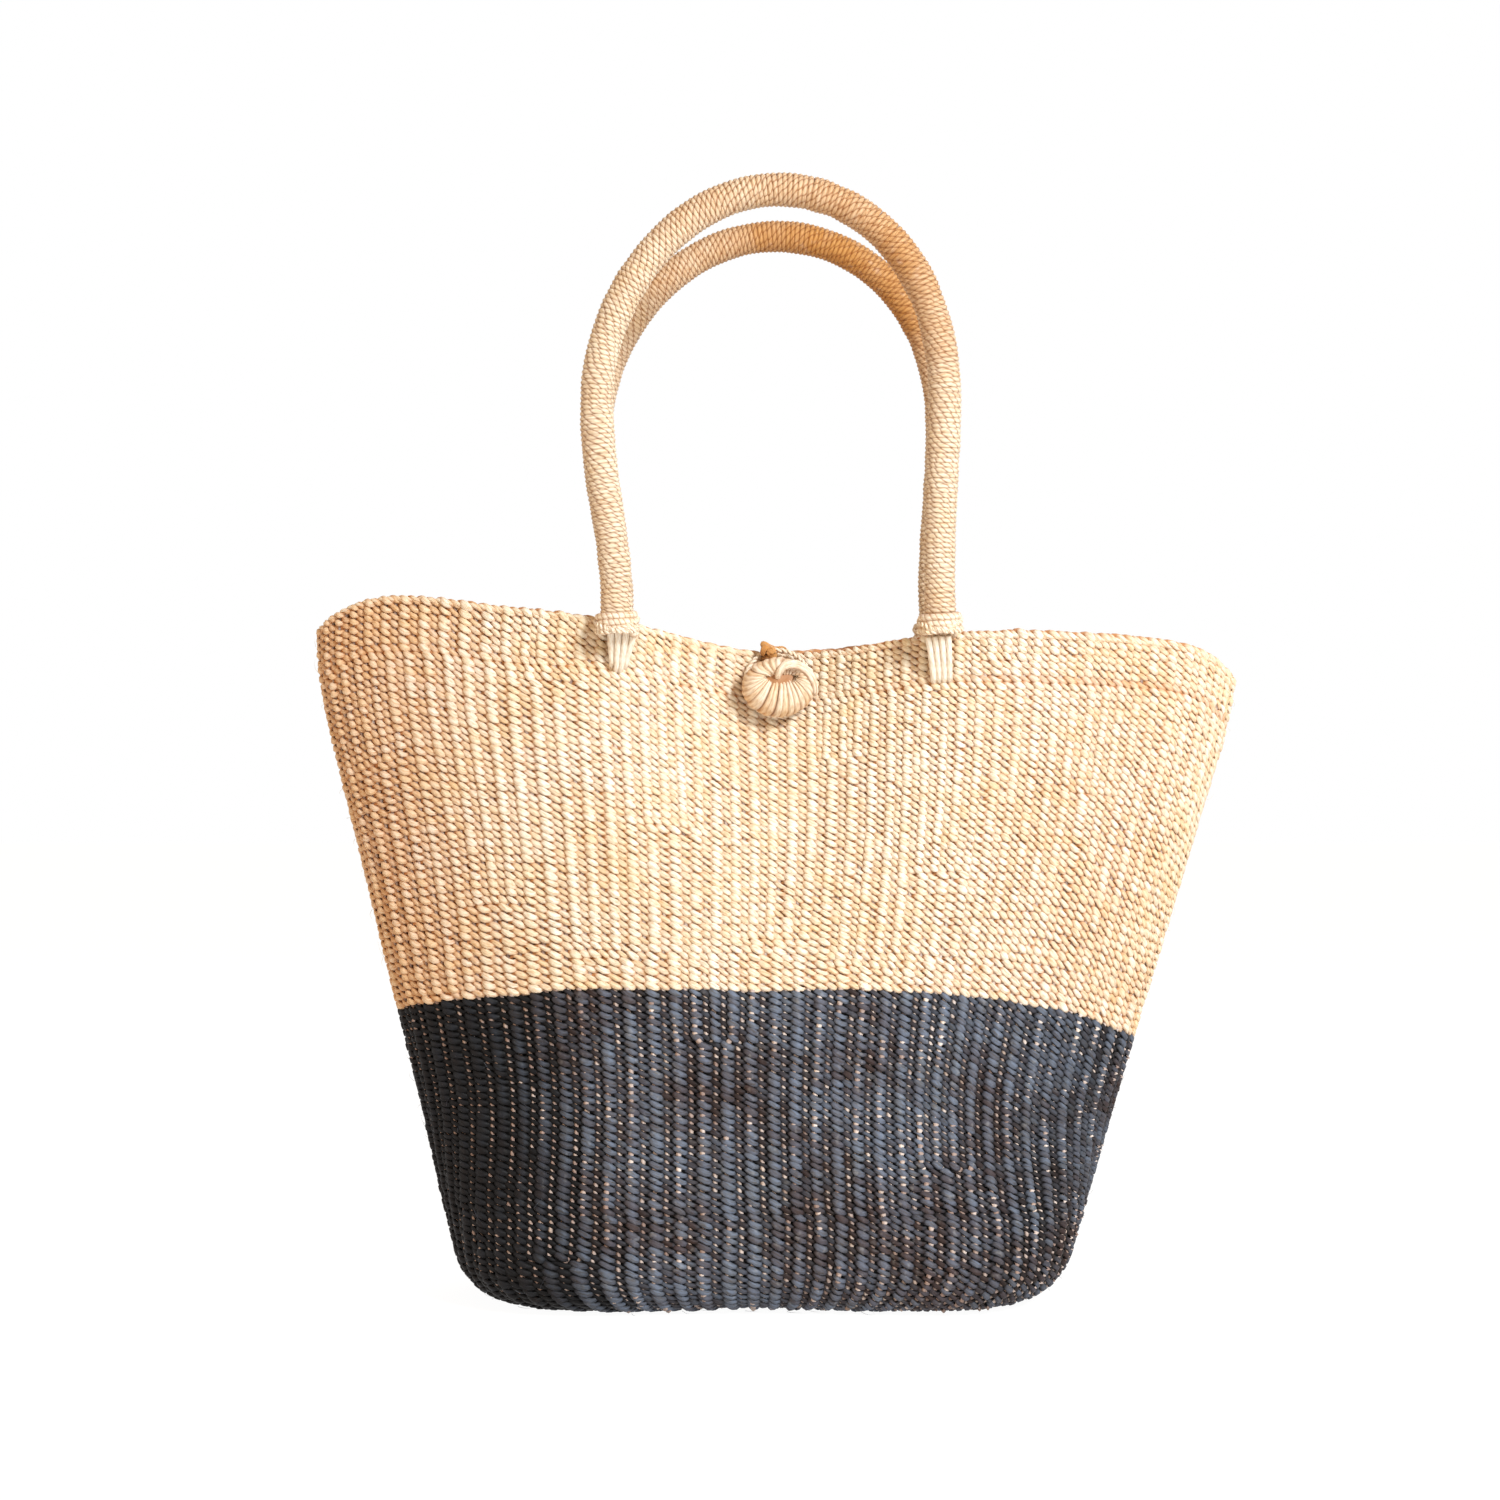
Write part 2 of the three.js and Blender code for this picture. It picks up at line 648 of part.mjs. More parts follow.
// The seam that sews the tab's foot to the back wall crosses over it.
function makeTabSeam() {
  const width = TAB_WIDTH + 2 * TAB_THICKNESS;
  const top = RIM_RISE - TAB_BACK_LENGTH + TAB_SEAM_HEIGHT;
  const seam = new THREE.BoxGeometry(width, TAB_SEAM_HEIGHT, 1, 6, 2, 1);
  return moveVertices(seam, (vertex) => {
    const rise = top + vertex.y - TAB_SEAM_HEIGHT / 2;
    const over = RIM_BAND_PROUD + TAB_CLEARANCE + TAB_THICKNESS + CLEARANCE;
    const depth = -over - (vertex.z > 0 ? TAB_THICKNESS / 2 : 0);
    return wallPoint(rise, angleAt(-vertex.x, rise, true), depth);
  });
}
addPiece("loop_tab_seam", makeTabSeam(), cordFibre);

export default bag;
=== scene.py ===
"""The looks of a handwoven banana fibre handbag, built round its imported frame.

The body is real twining: two wefts turn about each other round every warp, row above row, as one long
spiral from the base to the rim. The handles are ropes wound with two-ply cord, and a wound knot and a cord
loop close the mouth. Every strand is swept along the path it takes in the bag, because no primitive or
modifier gives a stitch its slant, its swell and its dive between the warps.

All sizes inside the classes are millimetres, +Z up, with the front of the bag towards -Y.
"""

from __future__ import annotations

import logging
import math
from dataclasses import dataclass, field
from enum import Enum

import bpy
import numpy as np
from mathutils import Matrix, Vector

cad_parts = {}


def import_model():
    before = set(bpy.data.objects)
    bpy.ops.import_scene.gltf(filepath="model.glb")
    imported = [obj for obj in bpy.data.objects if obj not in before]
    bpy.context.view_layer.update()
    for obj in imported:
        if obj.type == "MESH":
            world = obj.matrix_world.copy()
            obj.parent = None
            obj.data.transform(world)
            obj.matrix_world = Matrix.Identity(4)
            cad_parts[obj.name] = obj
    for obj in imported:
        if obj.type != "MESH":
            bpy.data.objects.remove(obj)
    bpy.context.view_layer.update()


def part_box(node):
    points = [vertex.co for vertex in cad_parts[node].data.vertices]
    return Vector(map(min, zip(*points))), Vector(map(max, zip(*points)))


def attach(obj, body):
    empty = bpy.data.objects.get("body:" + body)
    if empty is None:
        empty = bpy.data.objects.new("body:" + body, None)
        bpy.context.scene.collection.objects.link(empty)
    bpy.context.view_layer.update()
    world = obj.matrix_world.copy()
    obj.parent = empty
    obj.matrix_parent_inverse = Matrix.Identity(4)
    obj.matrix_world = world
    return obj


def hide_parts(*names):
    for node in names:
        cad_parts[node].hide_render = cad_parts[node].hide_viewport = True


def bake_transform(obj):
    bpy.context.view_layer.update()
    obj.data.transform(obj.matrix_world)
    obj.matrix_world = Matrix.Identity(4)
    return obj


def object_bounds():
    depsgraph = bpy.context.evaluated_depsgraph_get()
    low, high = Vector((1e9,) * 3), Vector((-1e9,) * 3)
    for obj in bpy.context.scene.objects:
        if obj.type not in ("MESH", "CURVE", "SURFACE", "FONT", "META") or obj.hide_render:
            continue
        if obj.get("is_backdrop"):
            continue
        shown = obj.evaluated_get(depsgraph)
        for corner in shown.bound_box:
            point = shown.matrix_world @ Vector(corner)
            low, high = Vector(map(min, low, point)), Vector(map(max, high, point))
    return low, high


LOG = logging.getLogger("handbag")
MM = 0.001
Colour = tuple[float, float, float]
Place = tuple[float, float, float]
Placed = tuple[np.ndarray, np.ndarray]
Socket = bpy.types.NodeSocket


class Body(Enum):
    """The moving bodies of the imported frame."""

    ROOT = "root"
    FRONT_HANDLE = "front_handle"
    BACK_HANDLE = "back_handle"
    KNOT = "knot"
    LOOP = "loop"


class Slot(Enum):
    """The record's material slots."""

    PALE = "pale_fibre"
    DARK = "dark_fibre"
    HANDLE = "handle_cord"
    CORE = "core_fibre"
    BINDING = "binding_cord"
    KNOT = "knot_cord"


def smoothstep(value: np.ndarray, low: float, high: float) -> np.ndarray:
    """Returns 0 below low, 1 above high and a smooth step between."""
    share = np.clip((value - low) / (high - low), 0.0, 1.0)
    return share * share * (3.0 - 2.0 * share)


def unit(vectors: np.ndarray) -> np.ndarray:
    """Returns the vectors with a length of one."""
    return vectors / np.maximum(np.linalg.norm(vectors, axis=-1, keepdims=True), 1e-12)


def run_of(path: np.ndarray) -> np.ndarray:
    """Returns how far along a line each of its points lies."""
    return np.concatenate([[0.0], np.cumsum(np.linalg.norm(np.diff(path, axis=0), axis=-1))])


def ring_run_of(path: np.ndarray) -> np.ndarray:
    """Returns how far along a line its points lie, and then its first point once more."""
    return run_of(np.concatenate([path, path[:1]]))


def even_path(points: np.ndarray, step: float, ring: bool = False) -> np.ndarray:
    """Spaces points evenly along a line.

    Args:
        points: the line's points.
        step: about how far apart the new points lie.
        ring: True where the line closes on itself.

    Returns:
        The new points.
    """
    if ring:
        points = np.concatenate([points, points[:1]])
    length = run_of(points)
    count = max(4, int(round(length[-1] / step)))
    at = np.linspace(0.0, length[-1], count + 1)
    if ring:
        at = at[:-1]
    return np.stack([np.interp(at, length, points[:, i]) for i in range(3)], -1)


def smoothed(path: np.ndarray) -> np.ndarray:
    """Softens the bends of a line.

    Args:
        path: the line's points.

    Returns:
        The new points, as many as before, with both ends in place.
    """
    path = path.copy()
    for _ in range(6):
        path[1:-1] = (path[:-2] + 2.0 * path[1:-1] + path[2:]) / 4.0
    return path


def across_path(path: np.ndarray, out: np.ndarray, ring: bool) -> Placed:
    """Finds the directions that lie square to a line.

    Args:
        path: the line's points.
        out: at each point, about where its outer side faces.
        ring: True where the line closes on itself.

    Returns:
        At each point, the direction nearest to out, and the one beside it.
    """
    ahead = np.roll(path, -1, 0) - np.roll(path, 1, 0) if ring else np.gradient(path, axis=0)
    tangent = unit(ahead)
    up = unit(out - (out * tangent).sum(-1, keepdims=True) * tangent)
    return up, np.cross(tangent, up)


def edge_shade_by_side(sides: int, depth: float, power: int = 2) -> np.ndarray:
    """Returns how much painted shade each side of a strand takes, most at its two edges."""
    return depth * np.abs(np.sin(2.0 * np.pi * np.arange(sides) / sides)) ** power


def linear(red: int, green: int, blue: int) -> Colour:
    """Returns a display colour, 0 to 255 a channel, as scene-linear values."""
    shares = (channel / 255.0 for channel in (red, green, blue))
    return tuple(s / 12.92 if s <= 0.04045 else ((s + 0.055) / 1.055) ** 2.4 for s in shares)


@dataclass(frozen=True)
class WallShape:
    """The body's outer face, as the frame has it, from the base's middle to the rim."""

    rim_height: float = 349.0
    band_height: float = 161.0
    wall: float = 4.5
    floor_half_width: float = 154.0
    floor_half_depth: float = 72.0
    rim_half_depth: float = 48.0
    side_flare: float = 0.2755
    flare_ease_height: float = 274.5
    flare_ease: float = 0.002
    corner: float = 24.0
    corner_depth: float = 20.0
    fullness: float = 1.0
    fullness_height: float = 120.0
    base_shift: float = 8.0
    top_shift: float = 1.85
    left_drop: float = 16.0
    right_drop: float = 29.0
    left_lift: float = 6.0
    left_lift_at: float = 0.84
    left_lift_width: float = 0.19
    left_flare: float = 3.2
    row_tilt: float = 8.5
    right_tilt: float = 5.0
    right_ease: float = 10.0
    upper_start: float = 0.46
    low_drop_power: float = 3.0
    rim_drop_power: float = 14.0
    pinch_width: float = 62.0
    pinched_half_depth: float = 8.5
    rim_dip: float = 17.0
    rim_dip_width: float = 72.0
    pinch_start: float = 0.42

    @property
    def corner_length(self) -> float:
        """Length of the rounded corner, measured up the wall."""
        return self.corner * math.pi / 2.0

    @property
    def rim_rise(self) -> float:
        """Rise of the rim: the way up the wall from the edge of the flat base."""
        return self.corner_length + self.rim_height - self.corner

    @property
    def band_rise(self) -> float:
        """Rise at which the dark band ends."""
        return self.corner_length + self.band_height - self.corner

    def half_width(self, height: np.ndarray) -> np.ndarray:
        """Half the width of the oval at a height."""
        eased = np.maximum(0.0, height - self.flare_ease_height)
        return self.floor_half_width + self.side_flare * height - self.flare_ease * eased**2

    def half_depth(self, height: np.ndarray) -> np.ndarray:
        """Half the depth of the oval at a height, before the mouth is drawn together."""
        level = np.maximum(0.0, height / self.rim_height)
        return self.floor_half_depth - (self.floor_half_depth - self.rim_half_depth) * level**1.2

    def middle_x(self, height: np.ndarray) -> np.ndarray:
        """Sideways place of the oval's middle at a height."""
        share = np.clip(height / self.rim_height, 0.0, 1.0)
        return -self.base_shift + (self.top_shift + self.base_shift) * share

    def pull(self, level: np.ndarray) -> np.ndarray:
        """How strongly the closure draws the mouth in at a level from 0, the floor, to 1, the rim."""
        share = (level - self.pinch_start) / (1.0 - self.pinch_start)
        return np.clip(share, 0.0, 1.1) ** 1.3

    def plain_height(self, rise: np.ndarray) -> np.ndarray:
        """Height of a rise before the rows sag or tilt."""
        turn = np.clip(rise, 0.0, self.corner_length) / self.corner
        return self.corner * (1.0 - np.cos(turn)) + np.maximum(0.0, rise - self.corner_length)

    def outer(self, rise: np.ndarray, angle: np.ndarray) -> np.ndarray:
        """Points on the outer face.

        Args:
            rise: way up the wall from the edge of the flat base; below 0 it lies in the base.
            angle: 0 at the front, a quarter turn at the right end, half a turn at the back.

        Returns:
            An array of points with x, y and z last.
        """
        rise, angle = np.broadcast_arrays(np.asarray(rise, float), np.asarray(angle, float))
        along = np.sin(angle)
        plain = self.plain_height(rise)
        level = plain / self.rim_height
        plain_x = self.middle_x(plain) + self.half_width(plain) * along
        left = along < 0.0
        drop = np.where(left, self.left_drop, self.right_drop)
        hump = np.exp(-(((along + self.left_lift_at) / self.left_lift_width) ** 2))
        lift = self.left_lift * hump * smoothstep(level, 0.5, 1.0)
        upper = smoothstep(level, self.upper_start, 1.0)
        drop = drop - np.where(left, 0.0, self.right_ease) * upper
        tilt = self.row_tilt * level**2 + np.where(left, 0.0, self.right_tilt) * upper
        power = self.low_drop_power + (self.rim_drop_power - self.low_drop_power) * upper
        end_drop = drop * np.abs(along) ** power * smoothstep(level, 0.1, 0.45)
        dip = self.rim_dip * np.exp(-((plain_x / self.rim_dip_width) ** 2)) * self.pull(level)
        height = plain - tilt * along + lift - end_drop - dip
        turn = np.clip(rise, 0.0, self.corner_length) / self.corner
        inset = np.where(rise < 0.0, 1.0 - rise / self.corner, 1.0 - np.sin(turn))
        x = self.middle_x(height) + (self.half_width(height) - inset * self.corner) * along
        x = x - self.left_flare * np.where(left, along**4, 0.0) * smoothstep(height, 270.0, 345.0)
        closing = (1.0 - self.pinched_half_depth / self.rim_half_depth) * np.exp(
            -((x / self.pinch_width) ** 2)
        )
        depth = self.half_depth(height) - inset * self.corner_depth
        depth = depth * (1.0 - closing * self.pull(level))
        full = self.fullness * (1.0 - smoothstep(plain, 0.0, self.fullness_height))
        return np.stack([x, -depth * np.cos(angle) * (1.0 + full * along**2), height], -1)

    def normal(self, rise: np.ndarray, angle: np.ndarray) -> np.ndarray:
        """Finds the outward directions at points of the outer face.

        Args:
            rise: way up the wall.
            angle: way round it.

        Returns:
            A direction for each point.
        """
        step = 0.02
        across = self.outer(rise, angle + step) - self.outer(rise, angle - step)
        up = self.outer(rise + 1.0, angle) - self.outer(rise - 1.0, angle)
        return unit(np.cross(across, up))

    def place(self, rise: np.ndarray, angle: np.ndarray, depth: np.ndarray) -> Placed:
        """Points inside the outer face by a depth, and the outward directions there."""
        out = self.normal(rise, angle)
        return self.outer(rise, angle) - out * np.asarray(depth)[..., None], out

    def angle_at(self, x: np.ndarray, rise: np.ndarray, back: bool) -> np.ndarray:
        """Finds the angle at which a row reaches a place from side to side.

        Args:
            x: the place.
            rise: the row's rise.
            back: True on the back of the bag, False on its front.

        Returns:
            The angle.
        """
        height = self.plain_height(np.asarray(rise, float))
        along = np.clip((x - self.middle_x(height)) / self.half_width(height), -1.0, 1.0)
        angle = np.arcsin(along)
        return math.pi - angle if back else angle


class NodeSketch:
    """Adds nodes to the tree of a material or a world, and links them."""

    def __init__(self, owner: bpy.types.Material | bpy.types.World) -> None:
        """Starts with an empty tree.

        Args:
            owner: the material or the world.
        """
        owner.use_nodes = True
        self.tree = owner.node_tree
        self.tree.nodes.clear()

    def add(
        self, kind: str, inputs: dict[str | int, Socket | float | tuple[float, ...]], **settings: str | bool
    ) -> bpy.types.Node:
        """Adds a node.

        Args:
            kind: its type.
            inputs: by name or number, the value of each input or the socket that feeds it.
            settings: its other settings.

        Returns:
            The node.
        """
        node = self.tree.nodes.new(f"ShaderNode{kind}")
        for name, setting in settings.items():
            setattr(node, name, setting)
        for name, value in inputs.items():
            if isinstance(value, Socket):
                self.tree.links.new(value, node.inputs[name])
            else:
                node.inputs[name].default_value = value
        return node

    def attribute(self, name: str) -> Socket:
        """Returns a number kept on the strands."""
        return self.add("Attribute", {}, attribute_name=name).outputs["Fac"]

    def noise(self, vector: Socket, scale: float, detail: float) -> Socket:
        """Returns a noise value read along a vector."""
        inputs = {"Vector": vector, "Scale": scale, "Detail": detail}
        return self.add("TexNoise", inputs).outputs["Fac"]

    def spread(self, value: Socket, low: float, high: float, to_low: float, to_high: float) -> Socket:
        """Returns a value taken from one range to another."""
        inputs = {"Value": value, 1: low, 2: high, 3: to_low, 4: to_high}
        return self.add("MapRange", inputs).outputs["Result"]

    def blend(self, kind: str, share: Socket, first: Socket | Colour, second: Socket | Colour) -> Socket:
        """Blends two colours.

        Args:
            kind: how they are blended.
            share: how much of the second shows.
            first: a colour, or the socket that gives it.
            second: the same for the other colour.

        Returns:
            The blended colour.
        """
        colours = [(*colour, 1.0) if isinstance(colour, tuple) else colour for colour in (first, second)]
        inputs = {"Factor": share, 6: colours[0], 7: colours[1]}
        return self.add("Mix", inputs, data_type="RGBA", blend_type=kind).outputs[2]

    def maths(
        self, operation: str, first: Socket, second: Socket | float = 0.0, clamp: bool = False
    ) -> Socket:
        """Returns the outcome of one sum, kept between 0 and 1 where clamp is set."""
        return self.add("Math", {0: first, 1: second}, operation=operation, use_clamp=clamp).outputs[0]

    def seen(self) -> Socket:
        """Tells what the camera sees, straight or by a mirror or glass, from what only lights the bag.

        Returns:
            1 for what the camera sees, and 0 for the rest.
        """
        rays = self.add("LightPath", {}).outputs
        mirrored = self.maths("MAXIMUM", rays["Is Camera Ray"], rays["Is Glossy Ray"])
        return self.maths("MAXIMUM", mirrored, rays["Is Transmission Ray"])


@dataclass(frozen=True)
class FibreFinish:
    """A finish of plant fibre: a crown colour, a mellower one, and a deep one painted as shade where
    strands dive and meet.
    """

    name: str
    crown: Colour
    mellow: Colour
    deep: Colour
    painted_shade: float = 0.8
    streak: float = 0.28
    patch: float = 0.35
    roughness: float = 0.62
    gloss: float = 0.3
    sheen: float = 0.08
    relief: float = 0.00022
    ply_lay: float = 0.0

    def material(self) -> bpy.types.Material:
        """Makes the finish's node material.

        Returns:
            The material, which reads the strands' own map and their tone and crease.
        """
        made = bpy.data.materials.new(self.name)
        sketch = NodeSketch(made)
        lay = sketch.add("UVMap", {}, uv_map="Lay").outputs["UV"]
        along = sketch.add("Mapping", {"Vector": lay, "Scale": (2.6, 11.0, 1.0)}).outputs["Vector"]
        streaks = sketch.noise(along, 1.0, 3.0)
        place = sketch.add("TexCoord", {}).outputs["Object"]
        painted_shade, height = sketch.attribute("painted_shade"), streaks
        if self.ply_lay:
            crown = self._ply_crown(sketch, lay, place)
            # The valleys between the plies take painted shade as well as relief.
            valleys = sketch.spread(crown, 0.0, 0.55, 0.75, 0.0)
            painted_shade = sketch.maths("ADD", painted_shade, valleys, clamp=True)
            height = sketch.maths("ADD", crown, sketch.spread(streaks, 0.0, 1.0, 0.0, 0.35), clamp=True)
        relief = {"Strength": 0.6, "Distance": self.relief, "Height": height}
        shader = sketch.add("BsdfPrincipled", {
            "Base Color": self._colour(sketch, place, streaks, painted_shade),
            "Roughness": sketch.spread(streaks, 0.3, 0.7, self.roughness - 0.1, self.roughness + 0.14),
            "Normal": sketch.add("Bump", relief).outputs["Normal"],
            "Specular IOR Level": self.gloss,
            "Sheen Weight": self.sheen,
            "Sheen Roughness": 0.45,
        })
        sketch.add("OutputMaterial", {"Surface": shader.outputs["BSDF"]})
        return made

    def _colour(self, sketch: NodeSketch, place: Socket, streaks: Socket, painted_shade: Socket) -> Socket:
        """Mixes the finish's colour.

        Args:
            sketch: the material's nodes.
            place: the place on the piece.
            streaks: the fibre's own streaks.
            painted_shade: 0 on the crowns to 1 where a strand dives, for how much of the deep colour paints
                its shade.

        Returns:
            The colour.
        """
        patches = sketch.spread(sketch.noise(place, 17.0, 3.0), 0.35, 0.65, -self.patch, self.patch)
        tone = sketch.maths("ADD", sketch.attribute("tone"), patches, clamp=True)
        colour = sketch.blend("MIX", tone, self.crown, self.mellow)
        shade = tuple(1.0 - self.streak * (1.0 + 0.5 * i) for i in range(3))
        colour = sketch.blend("MULTIPLY", sketch.spread(streaks, 0.42, 0.7, 0.0, 1.0), colour, shade)
        specks = sketch.spread(sketch.noise(place, 260.0, 1.0), 0.62, 0.8, 0.0, 0.12)
        colour = sketch.blend("SCREEN", specks, colour, (1.0, 1.0, 1.0))
        stains = sketch.spread(sketch.noise(place, 95.0, 1.0), 0.5, 0.75, 0.0, 0.5)
        colour = sketch.blend("MULTIPLY", stains, colour, (1.0, 0.94, 0.8))
        # Painted shade: the deep colour is mixed in where the strands dive and meet.
        return sketch.blend("MIX", sketch.spread(painted_shade, 0.0, 1.0, 0.0, self.painted_shade), colour, self.deep)

    def _ply_crown(self, sketch: NodeSketch, lay: Socket, place: Socket) -> Socket:
        """Draws the slanting valleys between the two plies of a twisted cord.

        Args:
            sketch: the material's nodes.
            lay: the strands' own map: centimetres along, and the share of the way round.
            place: the place on the piece, by which the valleys stray a little.

        Returns:
            A value of 0 in the valleys and 1 on the crowns.
        """
        wander = sketch.spread(sketch.noise(place, 70.0, 2.0), 0.3, 0.7, -1.3, 1.3)
        split = sketch.add("SeparateXYZ", {"Vector": lay})
        along = sketch.maths("MULTIPLY", split.outputs["X"], 20.0 * math.pi / self.ply_lay)
        around = sketch.maths("MULTIPLY", split.outputs["Y"], 2.0 * math.pi)
        turn = sketch.maths("ADD", sketch.maths("SUBTRACT", around, along), wander)
        return sketch.maths("ABSOLUTE", sketch.maths("COSINE", turn))


@dataclass(frozen=True)
class Finishes:
    """The bag's finishes, made once and shared by its pieces."""

    pale: bpy.types.Material
    dark: bpy.types.Material
    warp: bpy.types.Material
    handle: bpy.types.Material
    core: bpy.types.Material
    binding: bpy.types.Material
    sewn: bpy.types.Material
    knot: bpy.types.Material
    tab: bpy.types.Material

    @classmethod
    def make(cls) -> Finishes:
        """Makes every finish.

        Returns:
            The finishes.
        """
        straw = FibreFinish(
            "straw_weave", linear(253, 250, 240), linear(247, 230, 198), linear(190, 116, 44),
            painted_shade=0.85, patch=0.25,
        )
        navy = FibreFinish(
            "blue_black_weave", linear(112, 124, 146), linear(72, 58, 58), linear(6, 4, 4),
            painted_shade=0.98, patch=0.4, gloss=0.2, sheen=0.02,
        )
        warp = FibreFinish(
            "warp_fibre", linear(252, 238, 232), linear(170, 146, 138), linear(70, 50, 42), streak=0.08
        )
        wound = FibreFinish(
            "wound_handle_cord", linear(254, 245, 226), linear(204, 151, 86), linear(140, 76, 24),
            painted_shade=0.9, relief=0.0006, ply_lay=8.0, patch=0.12,
        )
        core = FibreFinish("core_fibre", linear(196, 160, 112), linear(168, 130, 84), linear(96, 62, 34))
        binding = FibreFinish(
            "sewing_cord", linear(255, 252, 242), linear(252, 238, 212), linear(176, 112, 56),
            patch=0.2, relief=0.0005, ply_lay=5.6,
        )
        sewn = FibreFinish(
            "untwisted_sewing_cord", linear(255, 253, 245), linear(252, 242, 220), linear(184, 120, 62),
            patch=0.15, relief=0.0004,
        )
        knot = FibreFinish(
            "knot_cord", linear(253, 246, 232), linear(234, 196, 146), linear(148, 82, 28), patch=0.12
        )
        # The tab's finish is the cord's colour in painted shade: orange-brown, as the tab lies in shade.
        tab = FibreFinish(
            "braided_tab_cord_in_painted_shade", linear(222, 170, 106), linear(190, 130, 66), linear(110, 58, 20)
        )
        finishes = (straw, navy, warp, wound, core, binding, sewn, knot, tab)
        return cls(*(finish.material() for finish in finishes))


class Strands:
    """Sweeps strands along their paths and gathers them into one mesh."""

    def __init__(self, sides: int = 5) -> None:
        """Starts an empty bundle.

        Args:
            sides: number of faces round each strand.
        """
        self.sides = sides
        self.points: list[np.ndarray] = []
        self.tones: list[np.ndarray] = []
        self.painted_shades: list[np.ndarray] = []
        self.quads: list[np.ndarray] = []
        self.caps: list[np.ndarray] = []
        self.lays: list[np.ndarray] = []
        self.cells: list[np.ndarray] = []
        self.cap_columns: list[int] = []
        self.count = 0
        self.columns = 0

    def sweep(
        self,
        path: np.ndarray,
        out: np.ndarray,
        wide: np.ndarray | float,
        thick: np.ndarray | float,
        tone: np.ndarray | float = 0.3,
        painted_shade: np.ndarray | float = 0.0,
        ring: bool = False,
        turn: float = 0.0,
    ) -> None:
        """Adds one strand.

        Args:
            path: the points of its centre line.
            out: at each point, the direction of the strand's outer side.
            wide: half its width, across out.
            thick: half its thickness, along out.
            tone: 0 for the crown colour to 1 for the mellow one, a number or one for each point.
            painted_shade: 0 to 1 for how much of the deep colour paints shade, for each point or for each
                point and side.
            ring: True where the strand closes on itself.
            turn: turn of the section's first corner away from out, in radians.
        """
        n, sides = len(path), self.sides
        up, side = across_path(path, out, ring)
        angles = 2.0 * np.pi * np.arange(sides) / sides + turn
        painted_shade = np.ones((n, sides)) * (painted_shade[:, None] if np.ndim(painted_shade) == 1 else painted_shade)
        thick = (np.ones(n) * thick)[:, None] * np.cos(angles)
        wide = (np.ones(n) * wide)[:, None] * np.sin(angles)
        points = path[:, None] + up[:, None] * thick[..., None] + side[:, None] * wide[..., None]
        spans = n if ring else n - 1
        i = np.arange(spans)[:, None]
        j = np.arange(sides)[None]
        after, beside = (i + 1) % n, (j + 1) % sides
        quads = np.stack([i * sides + j, i * sides + beside, after * sides + beside, after * sides + j], -1)
        length = ring_run_of(path)[: spans + 1]
        along = np.stack([length[:-1], length[:-1], length[1:], length[1:]], -1)[:, None] / 10.0
        across = (np.stack([j, j + 1, j + 1, j], -1) / sides) * np.ones((spans, 1, 1))
        self.lays.append(np.stack([along * np.ones((1, sides, 1)), across], -1).reshape(-1, 2))
        column = self.columns + 1 + np.arange(spans)
        cells = np.broadcast_to(column[:, None], (spans, sides))
        self.cells.append(np.stack([cells, np.broadcast_to(j, (spans, sides))], -1).reshape(-1, 2))
        self.columns += spans + 2
        self.quads.append(quads.reshape(-1, 4) + self.count)
        if not ring:
            first = np.arange(sides)
            self.caps.append(first[::-1] + self.count)
            self.caps.append(first + (n - 1) * sides + self.count)
            self.cap_columns += [int(column[0]) - 1, int(column[-1]) + 1]
        self.points.append(points.reshape(-1, 3))
        self.tones.append(np.repeat(np.ones(n) * tone, sides))
        self.painted_shades.append(painted_shade.reshape(-1))
        self.count += n * sides

    def build(self, name: str, finish: bpy.types.Material) -> bpy.types.Object:
        """Makes the mesh.

        Args:
            name: the piece's name.
            finish: its material.

        Returns:
            The new object, at the origin, with its place in its mesh.
        """
        quads = np.concatenate(self.quads)
        caps = np.array(self.caps, int).reshape(-1, self.sides)
        mesh = bpy.data.meshes.new(name)
        mesh.vertices.add(self.count)
        mesh.vertices.foreach_set("co", (np.concatenate(self.points) * MM).astype(np.float32).ravel())
        corners = np.concatenate([quads.ravel(), caps.ravel()]).astype(np.int32)
        sizes = np.concatenate([np.full(len(quads), 4), np.full(len(caps), self.sides)])
        starts = np.concatenate([[0], np.cumsum(sizes)[:-1]]).astype(np.int32)
        mesh.loops.add(len(corners))
        mesh.loops.foreach_set("vertex_index", corners)
        mesh.polygons.add(len(sizes))
        mesh.polygons.foreach_set("loop_start", starts)
        mesh.update(calc_edges=True)
        mesh.polygons.foreach_set("use_smooth", np.ones(len(sizes), bool))
        for label, values in (("tone", self.tones), ("painted_shade", self.painted_shades)):
            made = mesh.attributes.new(label, "FLOAT", "POINT")
            made.data.foreach_set("value", np.clip(np.concatenate(values), 0.0, 1.0).astype(np.float32))
        lay = np.concatenate([*self.lays, np.zeros((caps.size, 2))])
        mesh.uv_layers.new(name="Lay").uv.foreach_set("vector", lay.astype(np.float32).ravel())
        own = mesh.uv_layers.new(name="OFBake")
        own.uv.foreach_set("vector", self._flat_map().astype(np.float32).ravel())
        mesh.uv_layers.active = mesh.uv_layers["Lay"]
        mesh.materials.append(finish)
        made = bpy.data.objects.new(name, mesh)
        bpy.context.scene.collection.objects.link(made)
        low = min(corner[2] for corner in made.bound_box) / MM
        triangles = 2 * len(quads) + (self.sides - 2) * len(caps)
        LOG.info("%s: %d triangles, lowest %.2f mm", name, triangles, low)
        return made

